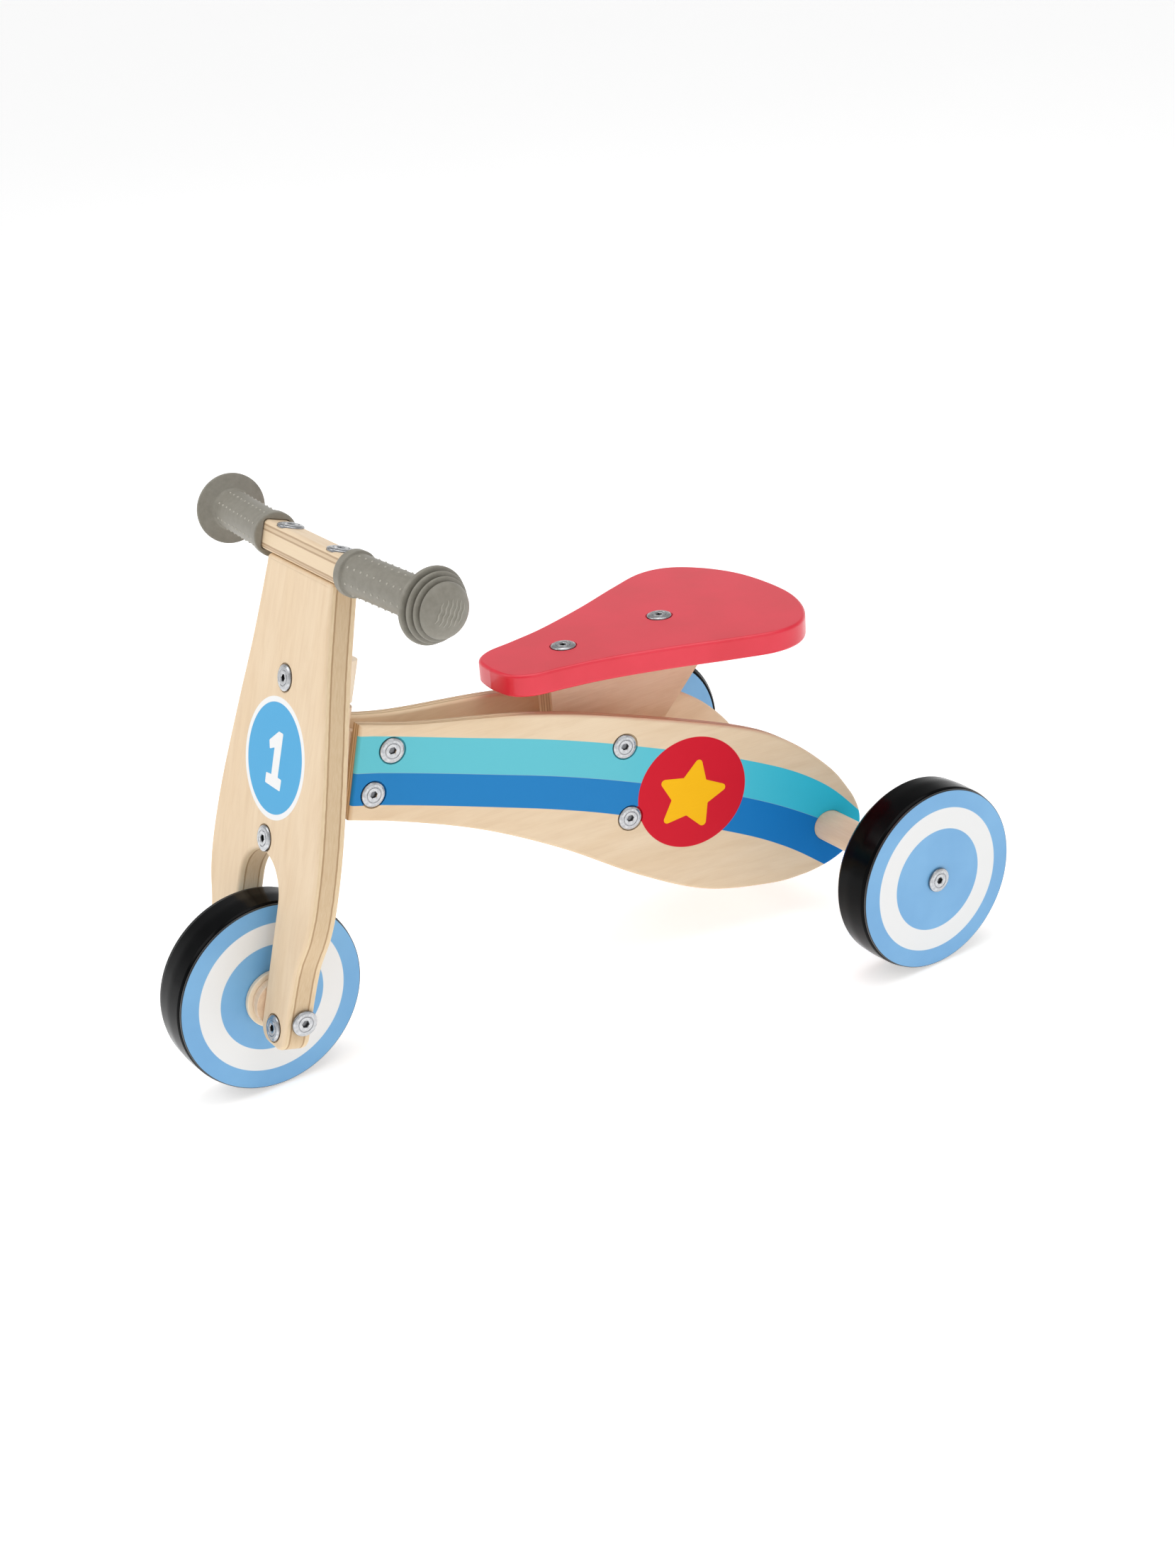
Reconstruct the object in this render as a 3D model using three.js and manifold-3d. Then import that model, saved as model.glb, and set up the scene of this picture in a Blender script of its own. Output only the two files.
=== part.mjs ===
// A toddler's wooden three-wheeled ride-on: plywood fork with a raked steering pin, two bowed side
// boards, a flat seat, and three rubber-tyred wooden wheels. Millimetres, +Z up, front faces -Y,
// the rider's left is +X, and the origin is on the floor midway between the front and rear axles.
import * as THREE from "three";
import { mergeVertices } from "three/addons/utils/BufferGeometryUtils.js";
import Module from "manifold-3d";

const wasm = await Module();
wasm.setup();

// Driving dimensions -------------------------------------------------------------------------
const wheelBase = 402;
const tyreRadius = 62.5;
const faceRadius = 61.2; // painted rim of the wooden disc
const seatRadius = 57.4; // step of the disc that carries the tyre
const wheelWidth = 30;
const trackOuter = 172; // outer face of each rear wheel, from the centre plane
const rake = THREE.MathUtils.degToRad(16.2); // steering axis leans back
const gap = 0.3; // clearance between neighbouring pieces

const plyFork = 18;
const plyBoard = 10;
const plySupport = 16;
const axleDiameter = 8;
const dowelDiameter = 22;

// The fork is drawn upright: X across, Y back from its front face, Z up along the board from the
// foot of the rake line, which passes this far ahead of the front axle.
const forkAhead = 11.9;
const forkTop = 268.5;
const forkFoot = -17;
const archHalf = 25;
const archCentre = 68;
const axisDepth = 35; // steering axis behind the fork's front face
const forkAxle = { depth: forkAhead * Math.cos(rake), up: forkAhead * Math.sin(rake) };
const forkBoltUp = { upper: 202, lower: 101.5 };

// Side boards: outer face in plan is noseHalf at the front and flares towards the rear axle.
const noseHalf = 15.5;
const splayStart = 90;
const splay = 0.108;
const bow = 0.000145;
const frontBolts = { upper: [101, 197], lower: [85, 172] };
const midBolts = { upper: [257, 158], lower: [257, 107] };

const seatTop = 222;
const seatThickness = 15;
const seatBoltsAt = { front: 240, rear: 316 };

const barSize = 18;
const barDeep = 16.5;
const barSweep = THREE.MathUtils.degToRad(5.5);
const gripStart = 48; // collar face, from the centre plane
const gripArm = 84; // length of the bar inside each grip
const gripLength = 94.6;
const capStart = 87.4;

const frontY = -wheelBase / 2;
const rearY = wheelBase / 2;
const axleUp = tyreRadius;

// Materials ----------------------------------------------------------------------------------
function material(color, roughness, metalness = 0) {
  return new THREE.MeshStandardMaterial({ color, roughness, metalness });
}
const birch = material(0xe9d3b1, 0.55);
const plyEdge = material(0xdfc49c, 0.6);
const beech = material(0xd9bd95, 0.6);
const wheelBlue = material(0x7ab4e0, 0.4);
const tyreRubber = material(0x0c0e10, 0.3);
const seatRed = material(0xdd4a60, 0.4);
const gripRubber = material(0x85827a, 0.75);
const zinc = material(0xc9cbcd, 0.3, 1);

// Helpers ------------------------------------------------------------------------------------
// A three.js geometry as a manifold-3d solid, after an optional placement.
function solid(geometry, matrix) {
  const bare = geometry.index ? geometry.toNonIndexed() : geometry.clone();
  bare.deleteAttribute("normal");
  bare.deleteAttribute("uv");
  if (matrix) bare.applyMatrix4(matrix);
  const merged = mergeVertices(bare, 1e-4);
  const mesh = new wasm.Mesh({
    numProp: 3,
    vertProperties: merged.attributes.position.array,
    triVerts: new Uint32Array(merged.index.array),
  });
  return new wasm.Manifold(mesh);
}

function geometryOf(body) {
  const mesh = body.getMesh();
  const positions = new Float32Array(mesh.numVert * 3);
  for (let i = 0; i < mesh.numVert; i++) {
    positions.set(mesh.vertProperties.subarray(i * mesh.numProp, i * mesh.numProp + 3), i * 3);
  }
  const geometry = new THREE.BufferGeometry();
  geometry.setAttribute("position", new THREE.BufferAttribute(positions, 3));
  geometry.setIndex(new THREE.BufferAttribute(mesh.triVerts, 1));
  const faceted = geometry.toNonIndexed();
  faceted.computeVertexNormals();
  return faceted;
}

// A cylinder between two values of one axis: "x", "y" or "z".
function rod(axis, radius, from, to, centre, segments = 28) {
  const geometry = new THREE.CylinderGeometry(radius, radius, to - from, segments);
  if (axis === "x") geometry.rotateZ(-Math.PI / 2);
  if (axis === "z") geometry.rotateX(Math.PI / 2);
  const middle = new THREE.Vector3(...centre);
  middle[axis] = (from + to) / 2;
  geometry.translate(middle.x, middle.y, middle.z);
  return solid(geometry);
}

function block(x, y, z) {
  const geometry = new THREE.BoxGeometry(x[1] - x[0], y[1] - y[0], z[1] - z[0]);
  geometry.translate((x[0] + x[1]) / 2, (y[0] + y[1]) / 2, (z[0] + z[1]) / 2);
  return solid(geometry);
}

// A solid of revolution: profile points are [radius, along], turned to run along +X.
function turned(profile, segments = 32) {
  const points = profile.map(([radius, along]) => new THREE.Vector2(radius, along));
  const geometry = new THREE.LatheGeometry(points, segments);
  geometry.rotateZ(-Math.PI / 2);
  return solid(geometry);
}

// Extrudes an outline. "plan" is drawn in X, Y and rises along Z; "side" is drawn in Y, Z and runs
// along X; "front" is drawn in X, Z and runs back along Y.
function extruded(shape, plane, from, to, curveSegments = 10) {
  const depth = to - from;
  const geometry = new THREE.ExtrudeGeometry(shape, { depth, bevelEnabled: false, curveSegments });
  const matrix = new THREE.Matrix4();
  if (plane === "plan") matrix.makeTranslation(0, 0, from);
  if (plane === "side") matrix.set(0, 0, 1, from, 1, 0, 0, 0, 0, 1, 0, 0, 0, 0, 0, 1);
  if (plane === "front") matrix.set(1, 0, 0, 0, 0, 0, -1, to, 0, 1, 0, 0, 0, 0, 0, 1);
  return solid(geometry, matrix);
}

function carve(body, ...tools) {
  return tools.reduce((rest, tool) => rest.subtract(tool), body);
}

// Moves a solid that was turned along +X: sign -1 points it along -X.
function along(body, sign, [x, y, z]) {
  const pointed = sign < 0 ? body.rotate([0, 0, 180]) : body;
  return pointed.translate([x, y, z]);
}

function piece(name, body, finish, parent) {
  const mesh = new THREE.Mesh(geometryOf(body), finish);
  mesh.name = name;
  parent.add(mesh);
  return mesh;
}

const bench = new THREE.Group();
const frame = new THREE.Group();
const fork = new THREE.Group();
fork.position.set(0, frontY - forkAhead, axleUp);
fork.rotation.x = -rake;
bench.add(frame, fork);

const sides = [
  ["left", 1],
  ["right", -1],
];

// Connector bolts ----------------------------------------------------------------------------
const headRadius = 8.2;
const headThickness = 2.2;
const headRecess = 9;
const boltSegments = 16;

// A flat-headed socket bolt along +X: its head's underside is at 0 and its shank runs to -length.
function connectorBolt(length, shank = 3) {
  return turned(
    [
      [0, -length],
      [shank, -length],
      [shank, 0],
      [headRadius, 0],
      [headRadius, headThickness * 0.6],
      [headRadius - 1, headThickness],
      [2.6, headThickness],
      [2, 0.4],
      [0, 0.4],
    ],
    boltSegments,
  );
}

// The sleeve nut that takes a connector bolt from the other side.
function sleeveNut(length, boreRadius, boreLength, outer = 4) {
  const bore = rod("x", boreRadius, -length - 1, -length + boreLength, [0, 0, 0], 16);
  return carve(connectorBolt(length, outer), bore);
}

// Side boards --------------------------------------------------------------------------------
// Distances back are measured from the front axle, and turned into Y where a piece is placed.
function boardFace(back) {
  const run = Math.max(0, back - splayStart);
  return noseHalf + splay * run + bow * run * run;
}

function sideOutline() {
  const shape = new THREE.Shape();
  shape.moveTo(82, 219);
  shape.splineThru(
    [[120, 209], [198, 195], [262, 177], [340, 150.4], [376, 131], [405, 104.8], [420, 83]].map(
      ([back, up]) => new THREE.Vector2(back, up),
    ),
  );
  shape.quadraticCurveTo(426.5, 71, 426.3, 61);
  shape.bezierCurveTo(425, 44, 408, 33.5, 384, 30.2);
  shape.splineThru(
    [[358, 29.8], [310, 39], [262, 63], [210, 97], [161, 124], [117, 142.5], [66.5, 160]].map(
      ([back, up]) => new THREE.Vector2(back, up),
    ),
  );
  shape.closePath();
  return shape;
}

function planBand(sign) {
  const outer = [];
  const inner = [];
  for (let back = 50; back <= 450; back += 16) {
    outer.push(new THREE.Vector2(sign * boardFace(back), frontY + back));
    inner.unshift(new THREE.Vector2(sign * (boardFace(back) - plyBoard), frontY + back));
  }
  return new THREE.Shape([...outer, ...inner]);
}

const frameBolts = [
  ["front_upper", ...frontBolts.upper],
  ["front_lower", ...frontBolts.lower],
  ["mid_upper", ...midBolts.upper],
  ["mid_lower", ...midBolts.lower],
];

// The head's seat: the floor of a shallow recess that stays under the flared face all round.
function seatOf(back) {
  return boardFace(back - headRecess) - 0.6;
}

const sideSlab = extruded(sideOutline(), "side", -90, 90, 5).translate([0, frontY, 0]);
for (const [side, sign] of sides) {
  const wall = extruded(planBand(sign), "plan", 0, 260);
  const holes = [rod("x", dowelDiameter / 2 + gap, -120, 120, [0, rearY, axleUp], 36)];
  for (const [, back, up] of frameBolts) {
    const centre = [0, frontY + back, up];
    const floor = seatOf(back) - gap;
    holes.push(rod("x", 4 + gap, -120, 120, centre, 20));
    holes.push(rod("x", headRecess, ...(sign > 0 ? [floor, 120] : [-120, -floor]), centre, 24));
  }
  piece("side_board_" + side, carve(wall.intersect(sideSlab), ...holes), birch, frame);
}

for (const [place, back, up] of frameBolts) {
  const reach = seatOf(back);
  const y = frontY + back;
  const thread = Math.min(14, reach * 0.8);
  const bolt = turned([
    [0, -reach - thread + 1],
    [2.6, -reach - thread + 1],
    [2.6, -reach - gap],
    [4, -reach - gap],
    [4, 0],
    [headRadius, 0],
    [headRadius, headThickness * 0.6],
    [headRadius - 1, headThickness],
    [2.6, headThickness],
    [2, 0.4],
    [0, 0.4],
  ], boltSegments);
  const nut = sleeveNut(reach - gap, 2.6 + gap, thread);
  piece("frame_bolt_" + place, along(bolt, 1, [reach, y, up]), zinc, frame);
  piece("frame_nut_" + place, along(nut, -1, [-reach, y, up]), zinc, frame);
}

// Head block: a barrel on the steering pin with a flat tongue between the side boards.
const barrelRadius = 11.5;
const pinRadius = 4;
const headBottom = 115.6;
const headTop = 185.6;

// Where a point on the steering axis lies in the frame, from its height along the fork.
function onAxis(up) {
  const point = new THREE.Vector3(0, axisDepth, up);
  return point.applyMatrix4(fork.matrix);
}
fork.updateMatrix();

function leaning(body) {
  return body.transform(fork.matrix.elements);
}

const tongueHalf = noseHalf - plyBoard - gap;
const tongueShape = new THREE.Shape();
tongueShape.moveTo(axisDepth, 119);
tongueShape.lineTo(axisDepth, 172);
tongueShape.lineTo(78, 164);
tongueShape.lineTo(82, 126);
tongueShape.closePath();
const tongue = extruded(tongueShape, "side", -tongueHalf, tongueHalf);
const barrel = rod("z", barrelRadius, headBottom, headTop, [0, axisDepth, 0], 32);
const headDrills = [leaning(rod("z", pinRadius + gap, 60, 260, [0, axisDepth, 0], 24))];
for (const [, back, up] of frameBolts.slice(0, 2)) {
  headDrills.push(rod("x", 4 + gap, -40, 40, [0, frontY + back, up], 20));
}
piece("head_block", carve(leaning(barrel.add(tongue)), ...headDrills), beech, frame);

// Seat, its support board and the spacers that hold the side boards off it.
function supportOutline() {
  const top = seatTop - seatThickness - gap;
  const shape = new THREE.Shape();
  shape.moveTo(223, top);
  shape.lineTo(223, 92);
  shape.quadraticCurveTo(223, 86, 229, 86);
  shape.lineTo(282, 86);
  shape.quadraticCurveTo(290, 86, 290, 94);
  shape.lineTo(290, 128);
  shape.quadraticCurveTo(290, 134, 294, 138);
  shape.lineTo(363, top);
  shape.closePath();
  return shape;
}

const supportDrills = [];
for (const back of Object.values(seatBoltsAt)) {
  supportDrills.push(rod("z", 3 + gap, 170, 260, [0, frontY + back, 0], 20));
}
for (const [, back, up] of frameBolts.slice(2)) {
  supportDrills.push(rod("x", 4 + gap, -40, 40, [0, frontY + back, up], 20));
}
const supportSlab = extruded(supportOutline(), "side", -plySupport / 2, plySupport / 2);
piece("seat_support", carve(supportSlab.translate([0, frontY, 0]), ...supportDrills), plyEdge, frame);

for (const [place, back, up] of frameBolts.slice(2)) {
  const start = plySupport / 2 + gap;
  const radius = 11;
  const end = boardFace(back - radius) - plyBoard - gap;
  for (const [side, sign] of sides) {
    const tube = turned([
      [4 + gap, 0],
      [radius, 0],
      [radius, end - start],
      [4 + gap, end - start],
      [4 + gap, 0],
    ], 28);
    const name = "board_spacer_" + place.replace("mid_", "") + "_" + side;
    piece(name, along(tube, sign, [sign * start, frontY + back, up]), beech, frame);
  }
}

// Half of the seat's edge from nose to tail, mirrored to the other side.
function seatOutline() {
  const half = [
    [18, 187],
    [28, 199],
    [32, 220],
    [38, 247],
    [52, 287],
    [68, 325],
    [78, 354],
    [74, 376],
    [56, 393],
    [30, 404],
  ];
  const shape = new THREE.Shape();
  const point = ([x, back]) => new THREE.Vector2(x, back);
  const mirrored = half.map(([x, back]) => [-x, back]).reverse();
  shape.moveTo(0, 184);
  shape.splineThru([...half.map(point), point([0, 407]), ...mirrored.map(point), point([0, 184])]);
  return shape;
}

const seatBottom = seatTop - seatThickness;
const seatDrills = Object.values(seatBoltsAt).flatMap((back) => [
  rod("z", 3 + gap, 170, 260, [0, frontY + back, 0], 20),
  rod("z", headRecess, seatTop - 1.2, 260, [0, frontY + back, 0], 24),
]);
const seatSlab = extruded(seatOutline(), "plan", seatBottom, seatTop, 4);
piece("seat", carve(seatSlab.translate([0, frontY, 0]), ...seatDrills), seatRed, frame);

for (const [place, back] of Object.entries(seatBoltsAt)) {
  const bolt = connectorBolt(40).rotate([0, -90, 0]);
  const at = [0, frontY + back, seatTop - 1.2 + gap];
  piece("seat_bolt_" + place, bolt.translate(at), zinc, frame);
}

// Wheels -------------------------------------------------------------------------------------
const discBore = axleDiameter / 2 + 0.4;

// A disc from 0 to wheelWidth along X; each listed face keeps a thin painted rim past the tyre.
function wheelDisc(doubleRim) {
  const rim = 1.6;
  const inner = doubleRim ? [[faceRadius, 0], [faceRadius, rim], [seatRadius, rim]] : [[seatRadius, 0]];
  return turned(
    [
      [discBore, 0],
      ...inner,
      [seatRadius, wheelWidth - rim],
      [faceRadius, wheelWidth - rim],
      [faceRadius, wheelWidth],
      [discBore, wheelWidth],
      [discBore, 0],
    ],
    48,
  );
}

// The tyre band: a crowned tread between a small shoulder at the rim and a rounder inner one.
function tyreBand(doubleRim) {
  const from = doubleRim ? 1.6 + gap : 0.6;
  const to = wheelWidth - 1.6 - gap;
  const bore = seatRadius + gap;
  const edge = doubleRim ? faceRadius : faceRadius - 2;
  return turned(
    [
      [bore, from],
      [edge, from],
      [tyreRadius - 0.6, from + (doubleRim ? 2.5 : 4)],
      [tyreRadius, (from + to) / 2],
      [tyreRadius - 0.4, to - 2.5],
      [faceRadius, to],
      [bore, to],
      [bore, from],
    ],
    48,
  );
}

for (const [side, sign] of sides) {
  const start = [sign * (trackOuter - wheelWidth), rearY, axleUp];
  piece("rear_disc_" + side, along(wheelDisc(false), sign, start), wheelBlue, bench);
  piece("rear_tyre_" + side, along(tyreBand(false), sign, start), tyreRubber, bench);
}
const frontStart = [-wheelWidth / 2, frontY, axleUp];
piece("front_disc", along(wheelDisc(true), 1, frontStart), wheelBlue, bench);
piece("front_tyre", along(tyreBand(true), 1, frontStart), tyreRubber, bench);

// Rear axle: a wooden dowel through both boards, with a bolt and a washer for each wheel.
const washer = 1.5;
const dowelEnd = trackOuter - wheelWidth - washer - 2 * gap;
const boltReach = 38;
const dowel = rod("x", dowelDiameter / 2, -dowelEnd, dowelEnd, [0, rearY, axleUp], 36);
const dowelDrills = sides.map(([, sign]) => {
  const span = sign > 0 ? [dowelEnd - boltReach, 200] : [-200, boltReach - dowelEnd];
  return rod("x", axleDiameter / 2 + gap, ...span, [0, rearY, axleUp], 20);
});
piece("rear_axle", carve(dowel, ...dowelDrills), beech, frame);

function ring(inner, outer, width) {
  return turned([[inner, 0], [outer, 0], [outer, width], [inner, width], [inner, 0]], 28);
}

for (const [side, sign] of sides) {
  const head = [sign * (trackOuter + gap), rearY, axleUp];
  const bolt = connectorBolt(trackOuter - dowelEnd + boltReach - 2, axleDiameter / 2);
  const disc = ring(axleDiameter / 2 + gap, 9, washer);
  piece("rear_wheel_bolt_" + side, along(bolt, sign, head), zinc, frame);
  const at = [sign * (dowelEnd + gap), rearY, axleUp];
  piece("rear_washer_" + side, along(disc, sign, at), zinc, frame);
}

// Front hub: a thin wooden disc on each wheel face and a fixed spacer out to each leg.
const hubDisc = 3.4;
const hubStart = wheelWidth / 2 + gap;
for (const [side, sign] of sides) {
  const disc = ring(discBore, 18.7, hubDisc);
  const spacer = ring(discBore, 15.5, archHalf - hubStart - hubDisc - 2 * gap);
  const discAt = [sign * hubStart, frontY, axleUp];
  const spacerAt = [sign * (hubStart + hubDisc + gap), frontY, axleUp];
  piece("front_hub_disc_" + side, along(disc, sign, discAt), beech, bench);
  piece("front_spacer_" + side, along(spacer, sign, spacerAt), beech, bench);
}

// Fork ---------------------------------------------------------------------------------------
const legOuter = 56;

// The board's right-hand edge climbs from the leg's foot to the narrow top; the left mirrors it.
function forkOutline() {
  const edge = [
    [legOuter, 16],
    [58, 38],
    [65, 60],
    [67, 84],
    [64.5, 120],
    [56, 170],
    [47, 216],
  ];
  const up = (sign) => edge.map(([x, z]) => new THREE.Vector2(sign * x, z));
  const shape = new THREE.Shape();
  shape.moveTo(archHalf, forkFoot + 12);
  shape.quadraticCurveTo(archHalf, forkFoot, archHalf + 13, forkFoot);
  shape.lineTo(legOuter - 10, forkFoot);
  shape.quadraticCurveTo(legOuter - 0.5, forkFoot, legOuter - 0.5, forkFoot + 10);
  shape.splineThru([...up(1), new THREE.Vector2(40.5, forkTop)]);
  shape.lineTo(-40.5, forkTop);
  shape.splineThru([...up(-1).reverse(), new THREE.Vector2(0.5 - legOuter, forkFoot + 10)]);
  shape.quadraticCurveTo(0.5 - legOuter, forkFoot, 10 - legOuter, forkFoot);
  shape.lineTo(-archHalf - 13, forkFoot);
  shape.quadraticCurveTo(-archHalf, forkFoot, -archHalf, forkFoot + 12);
  shape.lineTo(-archHalf, archCentre);
  shape.absarc(0, archCentre, archHalf, Math.PI, 0, true);
  shape.closePath();
  return shape;
}

const barBoltX = 31;
const legBolt = { x: 41, up: -5.4 };
const nutUp = forkTop - 26;
const forkHoles = [
  rod("x", axleDiameter / 2 + gap, -90, 90, [0, forkAxle.depth, forkAxle.up], 24),
];
for (const up of Object.values(forkBoltUp)) {
  forkHoles.push(rod("y", 3 + gap, -5, 40, [0, 0, up], 20));
  forkHoles.push(rod("y", headRecess, -5, 1, [0, 0, up], 24));
}
for (const [, sign] of sides) {
  forkHoles.push(rod("y", 2.5 + gap, -5, 16.5, [sign * legBolt.x, 0, legBolt.up], 20));
  forkHoles.push(rod("y", headRecess, -5, 1, [sign * legBolt.x, 0, legBolt.up], 24));
  forkHoles.push(rod("z", 3 + gap, nutUp - 8, 300, [sign * barBoltX, barDeep / 2, 0], 20));
  forkHoles.push(rod("y", 5 + gap, 2, 30, [sign * barBoltX, 0, nutUp], 24));
}
const forkSlab = extruded(forkOutline(), "front", 0, plyFork, 7);
piece("fork_board", carve(forkSlab, ...forkHoles), birch, fork);

// Bolts through the fork's front face run back; sign -1 turns their heads to the front.
function frontBolt(length, shank, at) {
  return connectorBolt(length, shank).rotate([0, 0, -90]).translate(at);
}
for (const [place, up] of Object.entries(forkBoltUp)) {
  piece("fork_bolt_" + place, frontBolt(28, 3, [0, 1 - gap, up]), zinc, fork);
}
for (const [side, sign] of sides) {
  const at = [sign * legBolt.x, 1 - gap, legBolt.up];
  piece("leg_bolt_" + side, frontBolt(14, 2.5, at), zinc, fork);
}

// Front axle: a bolt from the left and a sleeve nut from the right make one bar through the hub.
const axleHead = legOuter + 1;
const joinAt = 30;
const axleBolt = turned([
  [0, -axleHead - joinAt - 14],
  [2.8, -axleHead - joinAt - 14],
  [2.8, -axleHead - joinAt],
  [axleDiameter / 2, -axleHead - joinAt],
  [axleDiameter / 2, 0],
  [headRadius, 0],
  [headRadius, headThickness * 0.6],
  [headRadius - 1, headThickness],
  [2.6, headThickness],
  [2, 0.4],
  [0, 0.4],
], boltSegments);
const axleNut = sleeveNut(axleHead - joinAt - gap, 2.8 + gap, 16);
const axleAt = (x) => [x, forkAxle.depth, forkAxle.up];
piece("front_axle_bolt", along(axleBolt, 1, axleAt(axleHead)), zinc, fork);
piece("front_axle_nut", along(axleNut, -1, axleAt(-axleHead)), zinc, fork);

// Steering clevis: a block above and a block below the head barrel, on one steel pin.
const blocks = {
  upper: [188.6, 215],
  lower: [90, 112.6],
};
for (const [place, [from, to]] of Object.entries(blocks)) {
  const shape = new THREE.Shape();
  const width = place === "upper" ? 15 : 18;
  shape.moveTo(-width, plyFork + gap);
  shape.lineTo(width, plyFork + gap);
  shape.lineTo(width, plyFork + 6);
  shape.lineTo(10.5, axisDepth + 3);
  shape.absarc(0, axisDepth, 11, 0.3, Math.PI - 0.3, false);
  shape.lineTo(-width, plyFork + 6);
  shape.closePath();
  const body = extruded(shape, "plan", from, to, 8);
  const bore = rod("z", pinRadius + gap, from - 5, to + 5, [0, axisDepth, 0], 24);
  const screw = rod("y", 3 + gap, 10, 29.6, [0, 0, forkBoltUp[place]], 20);
  piece("steering_block_" + place, carve(body, bore, screw), beech, fork);
}

const pinBottom = 82;
const pinTop = blocks.upper[1] + gap;
const pin = turned([
  [0, pinBottom],
  [pinRadius, pinBottom],
  [pinRadius, pinTop],
  [7, pinTop],
  [7, pinTop + 2.2],
  [6, pinTop + 3],
  [0, pinTop + 3],
], 24);
const upright = (body) => body.rotate([0, -90, 0]).translate([0, axisDepth, 0]);
piece("steering_pin", upright(pin), zinc, fork);

const nutShape = new THREE.Shape();
for (let corner = 0; corner < 6; corner++) {
  const angle = (corner * Math.PI) / 3;
  const at = [7.4 * Math.cos(angle), axisDepth + 7.4 * Math.sin(angle)];
  if (corner === 0) nutShape.moveTo(...at);
  else nutShape.lineTo(...at);
}
nutShape.closePath();
const nutBore = rod("z", pinRadius + gap, 70, 100, [0, axisDepth, 0], 24);
const hexNut = carve(extruded(nutShape, "plan", pinBottom + 1, blocks.lower[0] - gap), nutBore);
piece("steering_nut", hexNut, zinc, fork);

const washers = {
  upper: [headTop + gap, blocks.upper[0] - gap],
  lower: [blocks.lower[1] + gap, headBottom - gap],
};
for (const [place, [from, to]] of Object.entries(washers)) {
  const body = ring(pinRadius + gap, 9.5, to - from).rotate([0, -90, 0]);
  piece("steering_washer_" + place, body.translate([0, axisDepth, from]), zinc, fork);
}

// Handlebar: a square middle, with round arms that sweep back inside the grips.
const barBottom = forkTop + gap;
const barCentre = barBottom + barSize / 2;
const barBack = barDeep / 2;

// Places a solid that was turned along +X so that it starts at the collar and follows the sweep.
function onArm(body, sign) {
  const turn = sign > 0 ? 0 : 180;
  const sweep = THREE.MathUtils.radToDeg(barSweep);
  const swept = body.rotate([0, 0, turn + sign * sweep]);
  return swept.translate([sign * gripStart, barBack, barCentre]);
}

const barMiddle = block([-gripStart, gripStart], [0, barDeep], [barBottom, barBottom + barSize]);
const cheek = solid(new THREE.BoxGeometry(11, barDeep, barSize).translate(1.5, 0, 0));
const arm = rod("x", 8, -3, gripArm, [0, 0, 0], 24);
const arms = sides.flatMap(([, sign]) => [onArm(arm, sign), onArm(cheek, sign)]);
const barDrills = sides.flatMap(([, sign]) => [
  rod("z", 3 + gap, 250, 300, [sign * barBoltX, barBack, 0], 20),
  rod("z", headRecess - 0.6, barBottom + barSize - 1, 300, [sign * barBoltX, barBack, 0], 24),
]);
const wholeBar = arms.reduce((body, extra) => body.add(extra), barMiddle);
piece("handlebar", carve(wholeBar, ...barDrills), plyEdge, fork);

for (const [side, sign] of sides) {
  const bolt = connectorBolt(46).rotate([0, -90, 0]);
  const at = [sign * barBoltX, barBack, barBottom + barSize - 1 + gap];
  piece("handlebar_bolt_" + side, bolt.translate(at), zinc, fork);
  const nut = rod("y", 5, 2 + gap, plyFork - 1, [sign * barBoltX, 0, nutUp], 24);
  const hole = rod("z", 3 + gap, nutUp - 10, nutUp + 10, [sign * barBoltX, barBack, 0], 20);
  piece("barrel_nut_" + side, carve(nut, hole), zinc, fork);
}

// Grips: a squarish collar, a plain tube, three stepped flanges and a domed cap.
function grip() {
  const dome = new THREE.EllipseCurve(0, 0, gripLength - capStart, 16.2, 0, Math.PI / 2);
  const cap = dome.getPoints(5).reverse().map((at) => [at.y, capStart + at.x]);
  const shell = turned([
    [0, 0],
    [14, 0],
    [14, 5.5],
    [12.3, 7],
    [12.3, 70.5],
    [15, 73],
    [22.4, 75.8],
    [22.4, 77.8],
    [16, 79.6],
    [20.4, 80.2],
    [20.4, 81.8],
    [15, 83.2],
    [18.3, 83.8],
    [18.3, 85.2],
    [14, 86.2],
    ...cap.slice(0, -1),
    [0, gripLength],
  ], 28);
  const pocket = solid(new THREE.BoxGeometry(20, barDeep + 0.8, barSize + 0.8));
  const bore = rod("x", 8 + gap, -5, gripArm + 1, [0, 0, 0], 24);
  return carve(shell, pocket.translate([-2.2, 0, 0]), bore);
}
for (const [side, sign] of sides) {
  piece("grip_" + side, onArm(grip(), sign), gripRubber, fork);
}

export default bench;
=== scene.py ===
"""Looks for a toddler's wooden three-wheeled balance bike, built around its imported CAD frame.

Lengths in the shape code are millimetres; pieces are placed in metres in the CAD frame:
+Z up, the front faces -Y, the rider's left is +X, the floor is z = 0.
"""

import math

import bmesh
import bpy
from mathutils import Matrix, Vector


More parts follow.
